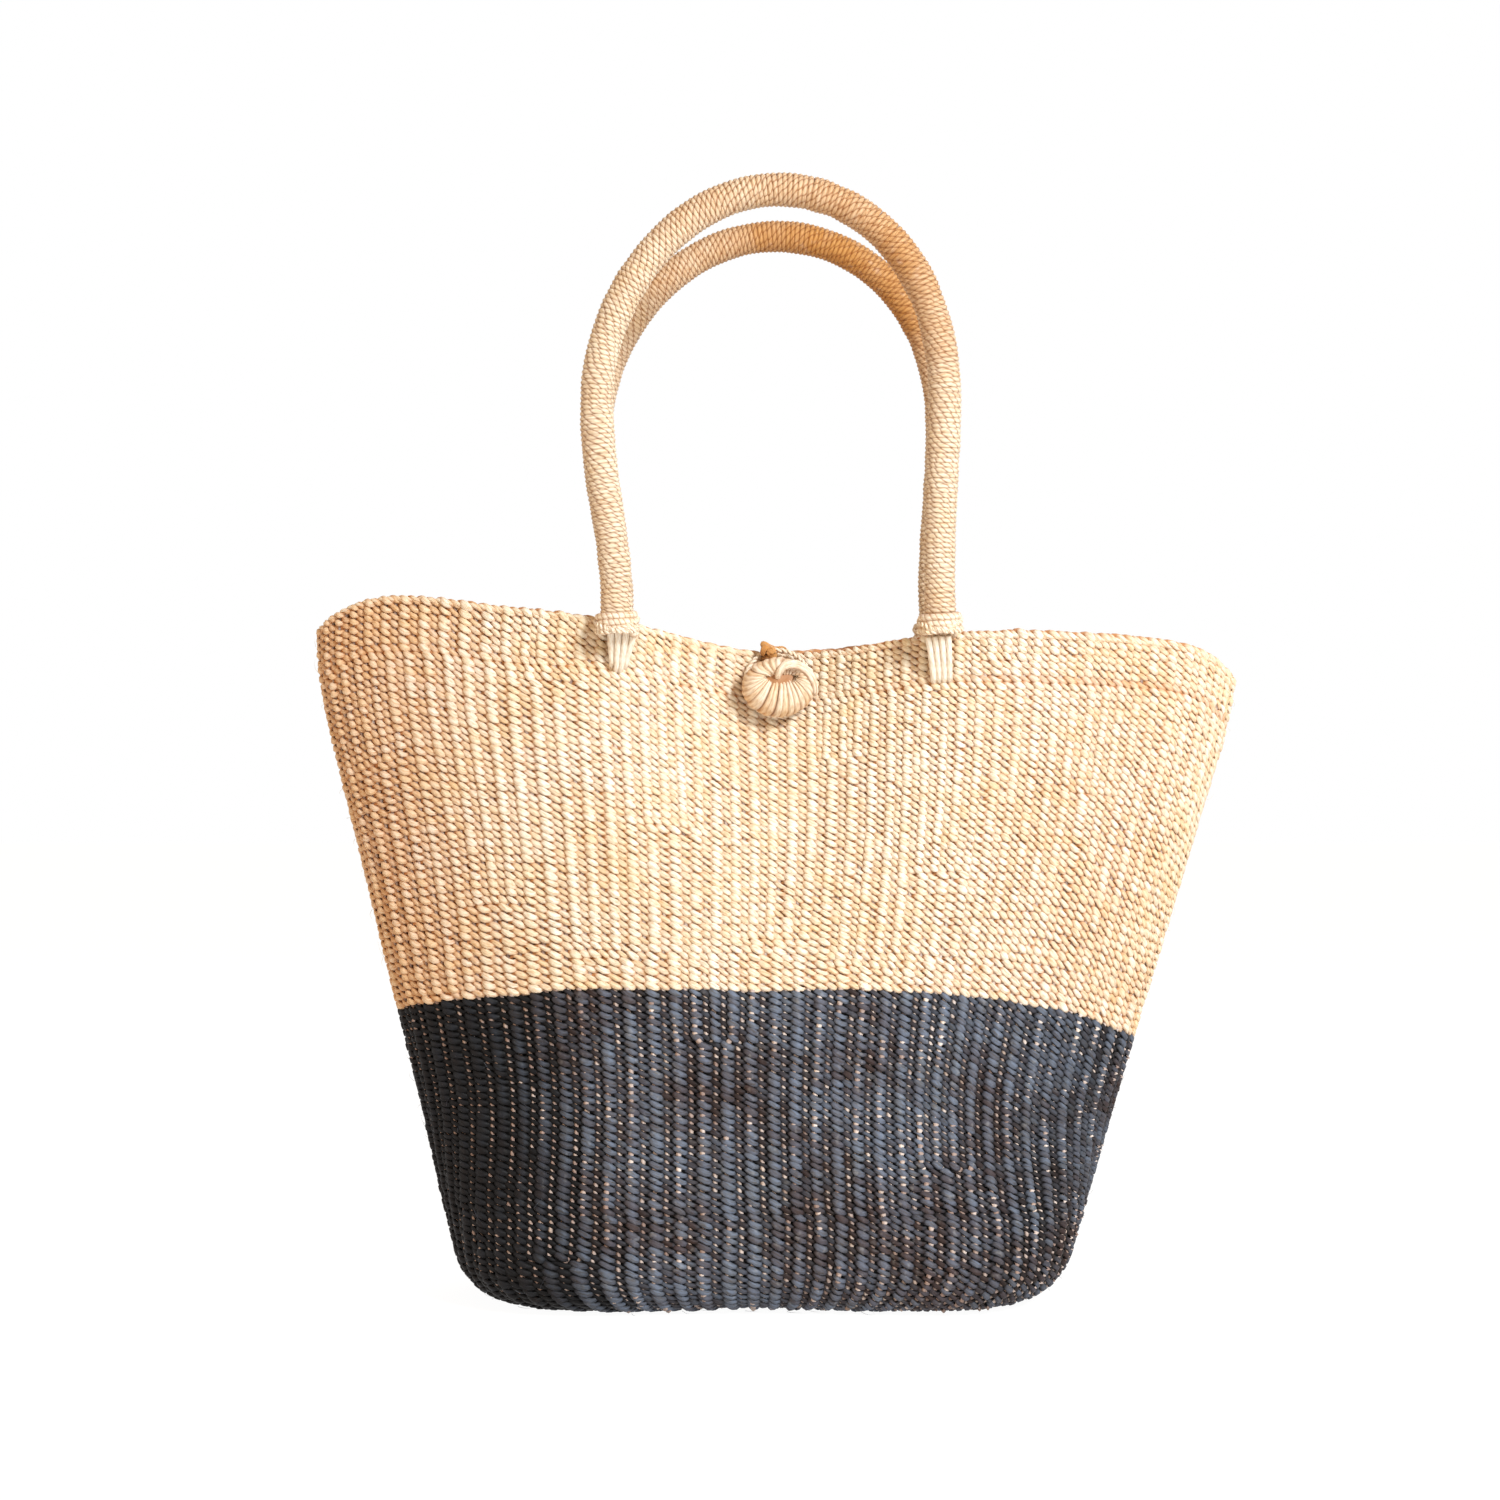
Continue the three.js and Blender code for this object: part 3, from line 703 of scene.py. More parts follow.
    def _flat_map(self) -> np.ndarray:
        """Lays every face flat in a cell of its own, in strips of strand one above another.

        Returns:
            The place of every corner on the map.
        """
        cells = np.concatenate(self.cells)
        width = max(4, math.ceil(math.sqrt(self.columns * (self.sides + 1))))
        strips = self.columns // width + 1
        step, tall = 1.0 / width, 1.0 / (strips * (self.sides + 1))
        left = (cells[:, 0] % width) * step
        low = cells[:, 0] // width / strips + (cells[:, 1] + 0.5) * tall
        u = np.stack([left, left, left + step, left + step], -1)
        v = np.stack([low, low + tall, low + tall, low], -1)
        ends = np.array(self.cap_columns, int)[:, None]
        turns = 2.0 * np.pi * np.arange(self.sides)[None] / self.sides
        cap_u = (ends % width + 0.5 + 0.4 * np.cos(turns)) * step
        cap_v = ends // width / strips + (self.sides / 2.0 + 0.4 * np.sin(turns)) * tall
        flat_u = np.concatenate([u.ravel(), cap_u.ravel()])
        flat_v = np.concatenate([v.ravel(), cap_v.ravel()])
        return np.stack([flat_u, flat_v], -1) * 0.996 + 0.002


def finish_piece(piece: bpy.types.Object, body: Body, slot: Slot, *nodes: str) -> None:
    """Hangs a piece on its body.

    Args:
        piece: the new piece.
        body: the body that it rides on.
        slot: not used.
        nodes: the frame's nodes that it stands for.
    """
    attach(piece, body.value)
    if nodes:
        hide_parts(*nodes)


def twist_plies(
    strands: Strands,
    path: np.ndarray,
    out: np.ndarray,
    width: float,
    lay: float,
    rng: np.random.Generator,
    ring: bool = False,
    flat: float = 1.0,
    tone: float = 0.3,
    taper: float = 0.0,
) -> None:
    """Lays two plies round a path, as a twisted cord.

    Args:
        strands: the bundle that takes them.
        path: evenly spaced points of the cord's centre line.
        out: the direction of the cord's outer side at each.
        width: the cord's whole width.
        lay: length of one full turn of the plies.
        rng: source of the small differences.
        ring: True where the cord closes on itself.
        flat: how thick the cord is along out, as a share of its width.
        tone: the tone that the plies differ about.
        taper: length over which both ends grow thin.
    """
    n = len(path)
    around = ring_run_of(path)
    length, total = around[:n], around[n if ring else n - 1]
    turns = max(1, round(total / lay)) if ring else total / lay
    phase = 2.0 * np.pi * turns * length / total
    up, side = across_path(path, out, ring)
    ends = np.ones(n)
    if taper and not ring:
        ends = np.clip(np.minimum(length, total - length) / taper, 0.12, 1.0) ** 0.6
    for ply in (0.0, np.pi):
        wave = phase + ply
        offset = width * 0.25 * ends
        lift, reach = np.cos(wave) * offset * flat, np.sin(wave) * offset
        centre = path + up * lift[:, None] + side * reach[:, None]
        radius = width * 0.285 * ends * (1.0 + 0.05 * rng.standard_normal())
        # Painted shade where each ply turns behind the other.
        sunk = 0.75 * (0.5 - 0.5 * np.cos(wave)) ** 1.5
        own_tone = tone + 0.12 * rng.standard_normal()
        strands.sweep(centre, up, radius, radius * flat, own_tone, sunk, ring=ring)


@dataclass(frozen=True)
class WeaveLook:
    """How one of the two fibres shows in the weave.

    The painted shade at the ends of the bag is how deep the colour gets there, and from where to where it
    deepens, as shares of the way from the middle to that end.
    """

    rib: float
    painted_shade: float
    furrow_shade: float
    left_end: tuple[float, float, float]
    right_end: tuple[float, float, float]

    def end_shade(self, along: np.ndarray) -> Placed:
        """Returns how deep the painted shade gets towards the left end, and towards the right one."""
        left, right = self.left_end, self.right_end
        return left[0] * smoothstep(-along, *left[1:]), right[0] * smoothstep(along, *right[1:])


@dataclass
class TwinedWall:
    """The body: warps that stand up from the base, and wefts twined round them row by row."""

    shape: WallShape
    finishes: Finishes
    dark_rows: int = 47
    pale_rows: int = 49
    rim_rows: int = 2
    dark_pieces: int = 4
    pale_pieces: int = 5
    base_start: float = -62.0
    base_pitch: float = 3.9
    mean_pitch: float = 3.85
    half_pitch: float = 1.9
    new_warp_step: float = 0.6180339887
    warp_wander: float = 0.00038
    base_warps: int = 36
    floor_warps: int = 142
    band_warps: int = 158
    pale_warps: int = 184
    rim_warps: int = 222
    steps: int = 4
    weft_wide: float = 1.78
    weft_thick: float = 1.0
    weave_depth: float = 1.15
    base_depth: float = 0.95
    weft_drop: float = 1.25
    lag: float = 0.28
    slack_share: float = 0.05
    slack_size: float = 0.72
    hem_line_drop: float = 23.5
    hem_line_width: float = 1.6
    hem_line_depth: float = 0.6
    hem_line_shade: float = 0.34
    dark_look: WeaveLook = WeaveLook(0.55, 0.75, 0.5, (0.95, 0.36, 0.78), (0.35, 0.5, 0.95))
    pale_look: WeaveLook = WeaveLook(0.4, 0.28, 0.16, (0.4, 0.5, 0.98), (0.16, 0.2, 0.9))
    section_turn: float = math.pi / 5.0
    seed: int = 20
    rows_of_base: int = field(init=False)

    def __post_init__(self) -> None:
        """Lays out the rows, the warps and the order in which warps are added."""
        self.rng = np.random.default_rng(self.seed)
        self.rows_of_base = round(-self.base_start / self.base_pitch)
        low = self.shape.band_rise / self.dark_rows
        high = (self.shape.rim_rise - 1.0 - self.shape.band_rise) / self.pale_rows
        self.row_rise = np.concatenate(
            [
                np.linspace(self.base_start, 0.0, self.rows_of_base, endpoint=False),
                low * np.arange(self.dark_rows),
                self.shape.band_rise + high * np.arange(self.pale_rows + 2),
            ]
        )
        self.rows = self.rows_of_base + self.dark_rows + self.pale_rows
        self._plan_warps()
        self._lay_wefts()

    def _plan_warps(self) -> None:
        """Decides where every warp stands and at which row it is added."""
        floor_row = self.rows_of_base
        band_row = floor_row + self.dark_rows
        stops = (0, floor_row, band_row, band_row + 7, self.rows)
        counts = (self.base_warps, self.floor_warps, self.band_warps, self.pale_warps, self.rim_warps)
        keys = list(np.arange(self.base_warps, dtype=float))
        room = [1.0] * self.base_warps
        born = {key: 0 for key in keys}
        widths = []
        spin = 0.37
        for row in range(self.rows + 1):
            wanted = np.interp(row, stops, counts)
            # Warps are added in pairs, so that each weft keeps to its own columns all the way up.
            while row and len(keys) + 2 <= round(wanted):
                spin = (spin + self.new_warp_step) % 1.0
                i = int(spin * len(keys))
                after = keys[i + 1] if i + 1 < len(keys) else keys[i] + 1.0
                for part in (1, 2):
                    key = keys[i] + (after - keys[i]) * part / 3.0
                    keys.insert(i + part, key)
                    room.insert(i + part, 0.0)
                    born[key] = row
                # The pair takes its room from its neighbours, so that nothing further off moves.
                near = [(i + step) % len(keys) for step in range(-3, 6)]
                shared = sum(room[k] for k in near) / len(near)
                for k in near:
                    room[k] = shared
            room = list(0.64 * np.array(room) + 0.18 * (np.roll(room, 1) + np.roll(room, -1)))
            widths.append(dict(zip(keys, room)))
        self.born = np.array([born[key] for key in keys])
        weight = np.array([[width.get(key, 0.0) for key in keys] for width in widths])
        ends = np.cumsum(weight, 1)
        self.warp_share = (ends - weight / 2.0) / ends[:, -1:]
        self.alive = np.arange(self.rows + 1)[:, None] >= self.born[None]
        self.proud = np.arange(len(keys)) % 2 == 0
        # The same small unevenness runs up each warp, so that columns wander as they do in handwork.
        knots = np.linspace(0, self.rows, 9)
        for i, wobble in enumerate(self.rng.standard_normal((len(keys), 9))):
            drift = np.interp(np.arange(self.rows + 1), knots, wobble)
            self.warp_share[:, i] += self.warp_wander * drift
        self._measure_rows()

    def _measure_rows(self) -> None:
        """Measures each row, so that a share of its length gives the angle."""
        self.fine = np.linspace(-math.pi, math.pi, 1441)
        self.row_share = []
        for rise in self.row_rise[: self.rows + 1]:
            points = self.shape.outer(np.full_like(self.fine, rise), self.fine)
            length = run_of(points)
            self.row_share.append(length / length[-1])

    def angle_of(self, turns: np.ndarray) -> np.ndarray:
        """Finds the angles at places on the spiral.

        Args:
            turns: the places, as whole rows and the share of the next one.

        Returns:
            The angle at each place.
        """
        rows = np.clip(np.floor(turns).astype(int), 0, self.rows)
        share = turns - rows
        angle = np.empty_like(turns)
        for row in np.unique(rows):
            at = rows == row
            angle[at] = np.interp(share[at], self.row_share[row], self.fine)
        return angle

    def rise_of(self, turns: np.ndarray, angle: np.ndarray) -> np.ndarray:
        """Finds the rises at places on the spiral, with the slow waves of handwork in them.

        Args:
            turns: the places, as whole rows and the share of the next one.
            angle: the angle at each place.

        Returns:
            The rise at each place.
        """
        rise = np.interp(turns, np.arange(len(self.row_rise)), self.row_rise)
        inside = smoothstep(rise, 4.0, 40.0) * (1.0 - smoothstep(rise, 345.0, 362.0))
        waves = (
            0.42 * np.sin(9.0 * angle + rise / 31.0)
            + 0.30 * np.sin(17.0 * angle - rise / 19.0 + 1.3)
            + 0.20 * np.sin(31.0 * angle + rise / 11.0 + 4.1)
        )
        return rise + waves * inside

    def _lay_wefts(self) -> None:
        """Finds where the wefts pass each warp, all the way up the spiral."""
        places = []
        for row in range(self.rows):
            alive = self.alive[row]
            places.append(row + np.clip(self.warp_share[row, alive], 1e-4, 1.0 - 1e-4))
        self.crossing = np.concatenate(places)
        count = len(self.crossing)
        rng = self.rng
        self.jitter = {
            "size": 1.0 + 0.13 * np.clip(rng.standard_normal((2, count)), -2.0, 2.0),
            "rise": 0.27 * np.clip(rng.standard_normal((2, count)), -2.0, 2.0),
            "depth": 0.15 * np.clip(rng.standard_normal((2, count)), -2.0, 2.0),
            "tone": rng.random((2, count)),
        }
        # Slack stitches: here and there one is thin and lets the warp or the dark inside show.
        slack = rng.random((2, count)) < self.slack_share
        self.jitter["size"][slack] *= self.slack_size
        # The ribs stand out most on the left of the front, and hardly at the right end.
        turn = 2.0 * np.pi * (self.crossing % 1.0)
        self.ribbed = 0.84 + 0.2 * np.cos(turn - 2.26) + 0.22 * np.sin(7.0 * turn + self.crossing / 9.0)
        self.ribbed += 0.22 * np.sin(17.0 * turn - self.crossing / 5.0)

    def _weft(self, strands: Strands, first: int, last: int, ply: int, proud: float = 0.0) -> None:
        """Sweeps one weft from one row to another.

        Args:
            strands: the bundle that takes it.
            first: the row it starts in.
            last: the row before which it ends.
            ply: 0 or 1, which of the two wefts.
            proud: how far this stretch stands out of the wall.
        """
        look = self.dark_look if last <= self.rows_of_base + self.dark_rows else self.pale_look
        rows = np.floor(self.crossing).astype(int)
        chosen = np.flatnonzero((rows >= first) & (rows < last))
        low, high = chosen[0], min(chosen[-1] + 1, len(self.crossing) - 1)
        at = np.arange(low * self.steps, high * self.steps + 1) / self.steps
        index = np.arange(len(self.crossing))
        turns = np.interp(at, index, self.crossing)
        phase = math.pi * (at + ply)
        # Each stitch comes out late and dives late, so that its lower end lies over the next one's start.
        swing, dive = np.cos(phase - self.lag), np.sin(phase)
        swing = np.sign(swing) * np.abs(swing) ** 0.7
        near = np.clip(np.round(at).astype(int), 0, len(index) - 1)

        def loose(name: str) -> np.ndarray:
            """Returns a small difference along the strand."""
            return np.interp(at, index, self.jitter[name][ply])

        angle = self.angle_of(turns)
        pitches = np.diff(self.row_rise) / self.mean_pitch
        pitch = np.interp(turns, np.arange(len(pitches)), pitches)
        rise = self.rise_of(turns, angle) + self.half_pitch - dive * self.weft_drop * pitch + loose("rise")
        hem_rise = self.shape.rim_rise - self.hem_line_drop
        hem = np.exp(-(((rise - hem_rise) / self.hem_line_width) ** 2))
        front = swing > 0
        middle = self.shape.wall / 2.0
        # The first weft keeps to the even columns outside and stands proud there, as ribs.
        ribbed = np.interp(at, index, self.ribbed)
        rib = look.rib * ribbed * (1.0 if ply == 0 else -1.0)
        depth = middle - swing * (self.weave_depth + rib) + loose("depth") - proud * swing
        depth = depth + np.where(front, hem * self.hem_line_depth, 0.0)
        depth = depth + self.base_depth * smoothstep(-rise, -18.0, -3.0)
        centre, out = self.shape.place(rise, angle, depth)
        size = loose("size") * (0.7 + 0.3 * np.abs(swing)) * (1.0 + 0.12 * proud) * (1.0 + 0.22 * rib)
        along = np.sin(angle)
        # The ribs take the crown colour on the front as a painted highlight, and the tone turns mellow
        # towards both ends as painted shade.
        tone = 0.75 * self.jitter["tone"][ply][near] - 0.3 * rib * front
        tone = tone + 0.55 * smoothstep(-along, 0.55, 0.98) + 0.25 * smoothstep(along, 0.6, 1.0)
        # Painted shade: the inner side of each strand, the part of a stitch that dives behind its warp, the
        # hem line's groove and the second weft in the furrows take the deep colour.
        sides = 2.0 * np.pi * np.arange(strands.sides) / strands.sides + self.section_turn
        edge = look.painted_shade * smoothstep(-np.cos(sides), -0.3, 0.5)
        sunk = np.clip(0.75 - swing, 0.0, 1.0) ** 1.5
        sunk = sunk + self.hem_line_shade * hem * front * (0.15 + 0.85 * smoothstep(along, 0.0, 0.5))
        sunk = sunk + look.furrow_shade * ply * ribbed * front
        # Painted shade: the ends of the bag are darkened towards the deep colour, and the dyed band nearly
        # to black at its left end.
        left_shade, right_shade = look.end_shade(along)
        sunk = np.clip((sunk + left_shade + right_shade)[:, None] + edge, 0.0, 1.0)
        wide, thick = self.weft_wide * size * pitch, self.weft_thick * size
        strands.sweep(centre, out, wide, thick, tone, sunk, turn=self.section_turn)

    def _weave(
        self,
        name: str,
        first: int,
        last: int,
        finish: bpy.types.Material,
        slot: Slot,
        *nodes: str,
        proud: float = 0.0,
    ) -> None:
        """Makes a piece of the weave from one row to another.

        Args:
            name: the piece's name.
            first: its first row.
            last: the row before which it ends.
            finish: its material.
            slot: the record's slot.
            nodes: the nodes that it stands for.
            proud: how far it stands out of the wall.
        """
        strands = Strands(5)
        for ply in (0, 1):
            self._weft(strands, first, last, ply, proud)
        finish_piece(strands.build(name, finish), Body.ROOT, slot, *nodes)

    def build(self) -> None:
        """Makes the base, the dark band, the pale wall and the rim's rows."""
        floor, band = self.rows_of_base, self.rows_of_base + self.dark_rows
        top, rim = self.rows, self.rows - self.rim_rows
        self._weave("base_weave", 0, floor, self.finishes.dark, Slot.DARK, "base_panel")
        pale, dark = self.finishes.pale, self.finishes.dark
        for label, low, high, count, finish, slot, node in (
            ("dark_weave", floor, band, self.dark_pieces, dark, Slot.DARK, "lower_wall"),
            ("pale_weave", band, rim, self.pale_pieces, pale, Slot.PALE, "upper_wall"),
        ):
            cuts = np.linspace(low, high, count + 1).round().astype(int)
            for i, (first, last) in enumerate(zip(cuts[:-1], cuts[1:])):
                nodes = (node,) if i == 0 else ()
                self._weave(f"{label}_{i + 1}", first, last, finish, slot, *nodes)
        self._weave("rim_weave", rim, top, pale, Slot.PALE, "rim_band", proud=0.25)
        self._warps("lower_warps", 1, band, 2)
        self._warps("upper_warps", band, self.rows, 1)

    def _warps(self, name: str, first: int, last: int, halves: int) -> None:
        """Makes the warps between two rows.

        Args:
            name: the piece's name.
            first: the row they start at.
            last: the row they end at.
            halves: points for each row; with 2, the warp swells out between the rows.
        """
        strands = Strands(4)
        rng = np.random.default_rng(self.seed + first)
        for warp in range(len(self.born)):
            start = max(first, int(self.born[warp]))
            if last - start < 2:
                continue
            rows = np.arange(start, last + 1e-6, 1.0 / halves)
            share = np.interp(rows, np.arange(self.rows + 1), self.warp_share[:, warp])
            turns = np.clip(rows, 0, self.rows - 1e-3) // 1 + np.clip(share, 1e-4, 1 - 1e-4)
            angle = self.angle_of(turns)
            lift = (rows - np.floor(rows)) * self.mean_pitch
            rise = self.rise_of(turns, angle) + self.half_pitch + lift
            rise = np.minimum(rise, self.shape.rim_rise - 1.5)
            knuckle = np.where(rows % 1.0 > 0.25, 1.0, 0.0)
            # Pale warps show in runs of a few rows, and mostly on the ribs.
            runs = np.interp(rows, np.arange(0, self.rows + 4, 3.0), rng.random(self.rows // 3 + 2))
            shown = np.clip((runs - (0.36 if self.proud[warp] else 0.84)) * 2.6, 0.0, 1.0)
            shown = shown * (0.35 + 0.65 * rng.random(len(rows)))
            shown = shown * (1.0 - 0.4 * smoothstep(-np.sin(angle), 0.4, 0.85))
            swell = knuckle * (0.2 + 2.95 * shown)
            depth = self.shape.wall / 2.0 - swell * smoothstep(rise, 2.0, 12.0) + 0.35 * (rise < 0.0)
            centre, out = self.shape.place(rise, angle, depth)
            # The tone turns mellow towards the left end as painted shade, and painted shade covers each
            # warp except where it shows between the rows.
            tone = rng.random(len(rows)) ** 0.8 + 0.6 * smoothstep(-np.sin(angle), 0.4, 0.85)
            wide = 1.0 + 0.35 * knuckle
            strands.sweep(centre, out, wide, 0.5 + 0.2 * knuckle, tone, 0.3 - 0.3 * knuckle * shown)
        finish_piece(strands.build(name, self.finishes.warp), Body.ROOT, Slot.PALE)


@dataclass
class RimAndHem:
    """The edge cord over the rim, and the warp ends that are turned down and sewn inside."""

    shape: WallShape
    finishes: Finishes
    edge_width: float = 4.2
    edge_lay: float = 9.0
    edge_drop: float = 1.35
    hem_depth: float = 21.0
    hem_gap: float = 0.7
    hem_strand: float = 0.85
    hem_strand_width: float = 2.5
    sewing_rise: float = 2.5
    sewing_width: float = 2.6
    sewing_lay: float = 7.0
    ends: int = 196
    seed: int = 31

    def build(self) -> None:
        """Makes the edge cord and the hem."""
        self._edge()
        self._hem()

    def _edge(self) -> None:
        """Makes the twisted cord that runs round the rim."""
        rng = np.random.default_rng(self.seed)
        angle = np.linspace(-math.pi, math.pi, 2000, endpoint=False)
        rise = np.full_like(angle, self.shape.rim_rise - self.edge_drop)
        path, _ = self.shape.place(rise, angle, self.shape.wall / 2.0)
        path = even_path(path, 0.95, ring=True)
        up = np.tile([0.0, 0.0, 1.0], (len(path), 1))
        strands = Strands(6)
        twist_plies(strands, path, up, self.edge_width, self.edge_lay, rng, ring=True, flat=0.8, tone=0.4)
        finish_piece(strands.build("rim_edge_cord", self.finishes.pale), Body.ROOT, Slot.PALE)

    def _hem(self) -> None:
        """Makes the turned warp ends and the row of twining that holds them."""
        rng = np.random.default_rng(self.seed + 1)
        strands = Strands(5)
        depth = self.shape.wall + self.hem_gap + self.hem_strand
        low = self.shape.rim_rise - self.hem_depth
        for i in range(self.ends):
            angle = -math.pi + 2.0 * math.pi * (i + 0.2 * rng.random()) / self.ends
            length = np.linspace(0.0, 1.0, 8)
            rise = low - 1.5 * rng.random() + (self.shape.rim_rise - 2.0 - low) * length
            leaning = angle + 0.012 * (1.0 - length) * (0.5 + rng.random())
            deep = np.where(length > 0.9, self.shape.wall * 0.6, depth)
            centre, out = self.shape.place(rise, leaning, deep)
            strands.sweep(centre, -out, self.hem_strand_width, self.hem_strand, rng.random(), 0.2)
        finish_piece(strands.build("hem_ends", self.finishes.pale), Body.ROOT, Slot.PALE, "inner_hem")
        sewing = Strands(5)
        angle = np.linspace(-math.pi, math.pi, 2000, endpoint=False)
        rise = np.full_like(angle, low + self.sewing_rise)
        path, _ = self.shape.place(rise, angle, depth + self.hem_strand * 0.9)
        path = even_path(path, 1.0, ring=True)
        inward = unit(np.concatenate([-path[:, :2] * [0.2, 1.0], np.zeros((len(path), 1))], -1))
        twist_plies(sewing, path, inward, self.sewing_width, self.sewing_lay, rng, ring=True, tone=0.5)
        finish_piece(sewing.build("hem_sewing", self.finishes.binding), Body.ROOT, Slot.PALE)


@dataclass
class RopeHandle:
    """One handle: a fibre core wound with two-ply cord, and a binding at each foot."""

    name: str
    front: bool
    body: Body
    finishes: Finishes
    top: float = 563.0
    arch_height: float = 106.0
    half_width: float = 87.5
    sway: float = 4.0
    straight_foot: float = 18.0
    foot_spacing: float = 163.0
    foot_height: float = 344.0
    foot_y: float = 48.5535
    lean: float = 2.2
    wrap_start: float = 4.4
    radius: float = 8.6
    core_radius: float = 5.9
    core_strand: float = 2.3
    foot_reach: float = 9.4
    foot_low: float = -3.4
    foot_high: float = 6.4
    foot_turns: float = 3.1
    foot_cord: tuple[float, float] = (1.95, 1.85)
    cross_reach: float = 10.2
    cross_width: float = 3.0
    cross_lay: float = 6.0
    cord_thick: float = 1.3
    arch_shade: float = 0.14
    pitch: float = 2.5
    samples: int = 28
    bend_start: float = 2.0
    bend_end: float = 46.0
    seed: int = 47

    def line(self, start: float, step: float) -> np.ndarray:
        """Draws the rope's centre line in the handle's own plane.

        Args:
            start: how far above the foot both ends lie.
            step: about how far apart its points lie.

        Returns:
            The points, from the left foot to the right one.
        """
        rise = self.top - self.foot_height
        arch_base = rise - self.arch_height
        height = np.linspace(start, arch_base, 60)
        swell = smoothstep(height, self.straight_foot, arch_base)
        leg = self.foot_spacing / 2.0 + (self.half_width - self.foot_spacing / 2.0) * swell
        turn = np.linspace(math.pi, 0.0, 90)[1:-1]
        arch_z = arch_base + self.arch_height * np.sin(turn)
        x = np.concatenate([-leg, self.half_width * np.cos(turn), leg[::-1]])
        z = np.concatenate([height, arch_z, height[::-1]])
        x = x - self.sway * np.sin(np.pi * z / rise) ** 2
        return even_path(np.stack([x, np.zeros_like(x), z], -1), step)

    def stand(self, points: np.ndarray) -> np.ndarray:
        """Takes points of the handle's own plane to where the handle stands on the rim.

        Args:
            points: points in the handle's plane.

        Returns:
            The same points in the bag.
        """
        turn = math.radians(self.lean if self.front else -self.lean)
        y = points[..., 1] * math.cos(turn) - points[..., 2] * math.sin(turn)
        z = points[..., 1] * math.sin(turn) + points[..., 2] * math.cos(turn)
        y = y + (-self.foot_y if self.front else self.foot_y)
        return np.stack([points[..., 0], y, z + self.foot_height], -1)

    def _turned(self, vectors: np.ndarray) -> np.ndarray:
        """Returns directions of the handle's plane as they stand."""
        return self.stand(vectors) - self.stand(np.zeros(3))

    def _around(self, line: np.ndarray, turn: np.ndarray) -> np.ndarray:
        """Finds directions away from the rope's line.

        Args:
            line: points of the line.
            turn: at each, the way round the rope, from 0 at the back.

        Returns:
            A direction for each point.
        """
        across = np.cross(unit(np.gradient(line, axis=0)), [0.0, 1.0, 0.0])
        return np.array([0.0, 1.0, 0.0]) * np.cos(turn)[:, None] + across * np.sin(turn)[:, None]

    def _hang(self, strands: Strands, name: str, finish: bpy.types.Material, node: str) -> None:
        """Makes a piece and hides the node that it stands for, without hanging the piece on a body.

        Args:
            strands: what the piece is made of.
            name: its name, after the handle's.
            finish: its material.
            node: the node that it stands for, after the handle's name.
        """
        piece = strands.build(f"{self.name}_{name}", finish)
        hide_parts(f"{self.name}_{node}")
        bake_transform(piece)

    def _wrap(self) -> None:
        """Makes the cord wound round the rope from foot to foot."""
        rng = np.random.default_rng(self.seed + self.front)
        line = self.line(self.wrap_start, 1.0)
        length = run_of(line)
        turns = length[-1] / self.pitch
        count = int(turns * self.samples)
        wind = np.linspace(0.0, turns, count)
        at = wind / turns * length[-1]
        ticks = np.arange(int(turns) + 3)
        uneven = np.interp(wind, ticks, 0.1 * rng.standard_normal(len(ticks)))
        centre = np.stack([np.interp(at + uneven, length, line[:, i]) for i in range(3)], -1)
        away = self._around(centre, 2.0 * np.pi * wind)
        foot = np.minimum(at, length[-1] - at)
        slim = 0.97 + 0.03 * smoothstep(foot, 10.0, 90.0)
        lumps = np.interp(wind, ticks[::3], 0.16 * rng.standard_normal(len(ticks[::3])))
        reach = (self.radius * slim - self.cord_thick + lumps)[:, None]
        path = self.stand(centre + away * reach)
        out = self._turned(away)
        tone = np.interp(wind, ticks, 0.09 + 0.05 * rng.standard_normal(len(ticks)))
        # Painted shade: the tone turns mellow up the arch and towards its right side, where it lies in
        # shade, and more so on the back handle.
        arch_shade = self.arch_shade + 0.62 * smoothstep(centre[:, 0], -60.0, 70.0)
        tone = tone + arch_shade * smoothstep(centre[:, 2], 90.0, 200.0)
        strands = Strands(6)
        # Painted shade along both edges of the cord, where its turns meet.
        edge = np.tile(edge_shade_by_side(6, 0.45), (count, 1))
        strands.sweep(path, out, self.pitch * 0.62, self.cord_thick, tone, edge)
        self._hang(strands, "wound_cord", self.finishes.handle, "wrap")

    def _core(self) -> None:
        """Makes the bundle of fibre inside the winding."""
        rng = np.random.default_rng(self.seed + 7)
        line = self.line(2.0, 3.0)
        strands = Strands(6)
        for i in range(7):
            start = 2.0 * np.pi * i / 6.0
            reach = 0.0 if i == 6 else self.core_radius * 0.62
            turn = start + np.arange(len(line)) * 0.12
            away = self._around(line, turn)
            path = self.stand(line + away * reach)
            strands.sweep(path, self._turned(away), self.core_strand, self.core_strand, rng.random(), 0.3)
        self._hang(strands, "fibre_core", self.finishes.core, "core")

    def _foot(self, side: float, label: str) -> None:
        """Makes the binding at one foot, with the turns that cross over it.

        Args:
            side: -1 for the left foot, 1 for the right.
            label: "left" or "right".
        """
        rng = np.random.default_rng(self.seed + 11 + int(side))
        strands = Strands(8)
        wind = np.linspace(0.0, self.foot_turns, int(self.foot_turns * 48))
        height = self.foot_low + (self.foot_high - self.foot_low) * wind / self.foot_turns
        reach = self.foot_reach - 0.5 * smoothstep(height, 4.0, 7.2)
        reach = reach + 0.25 * np.sin(3.1 * wind + rng.random())
        turn = 2.0 * np.pi * wind + 0.6 * side
        away = np.stack([np.cos(turn), np.sin(turn), np.zeros_like(turn)], -1)
        centre = away * reach[:, None]
        centre[:, 0] += side * self.foot_spacing / 2.0
        centre[:, 2] += height
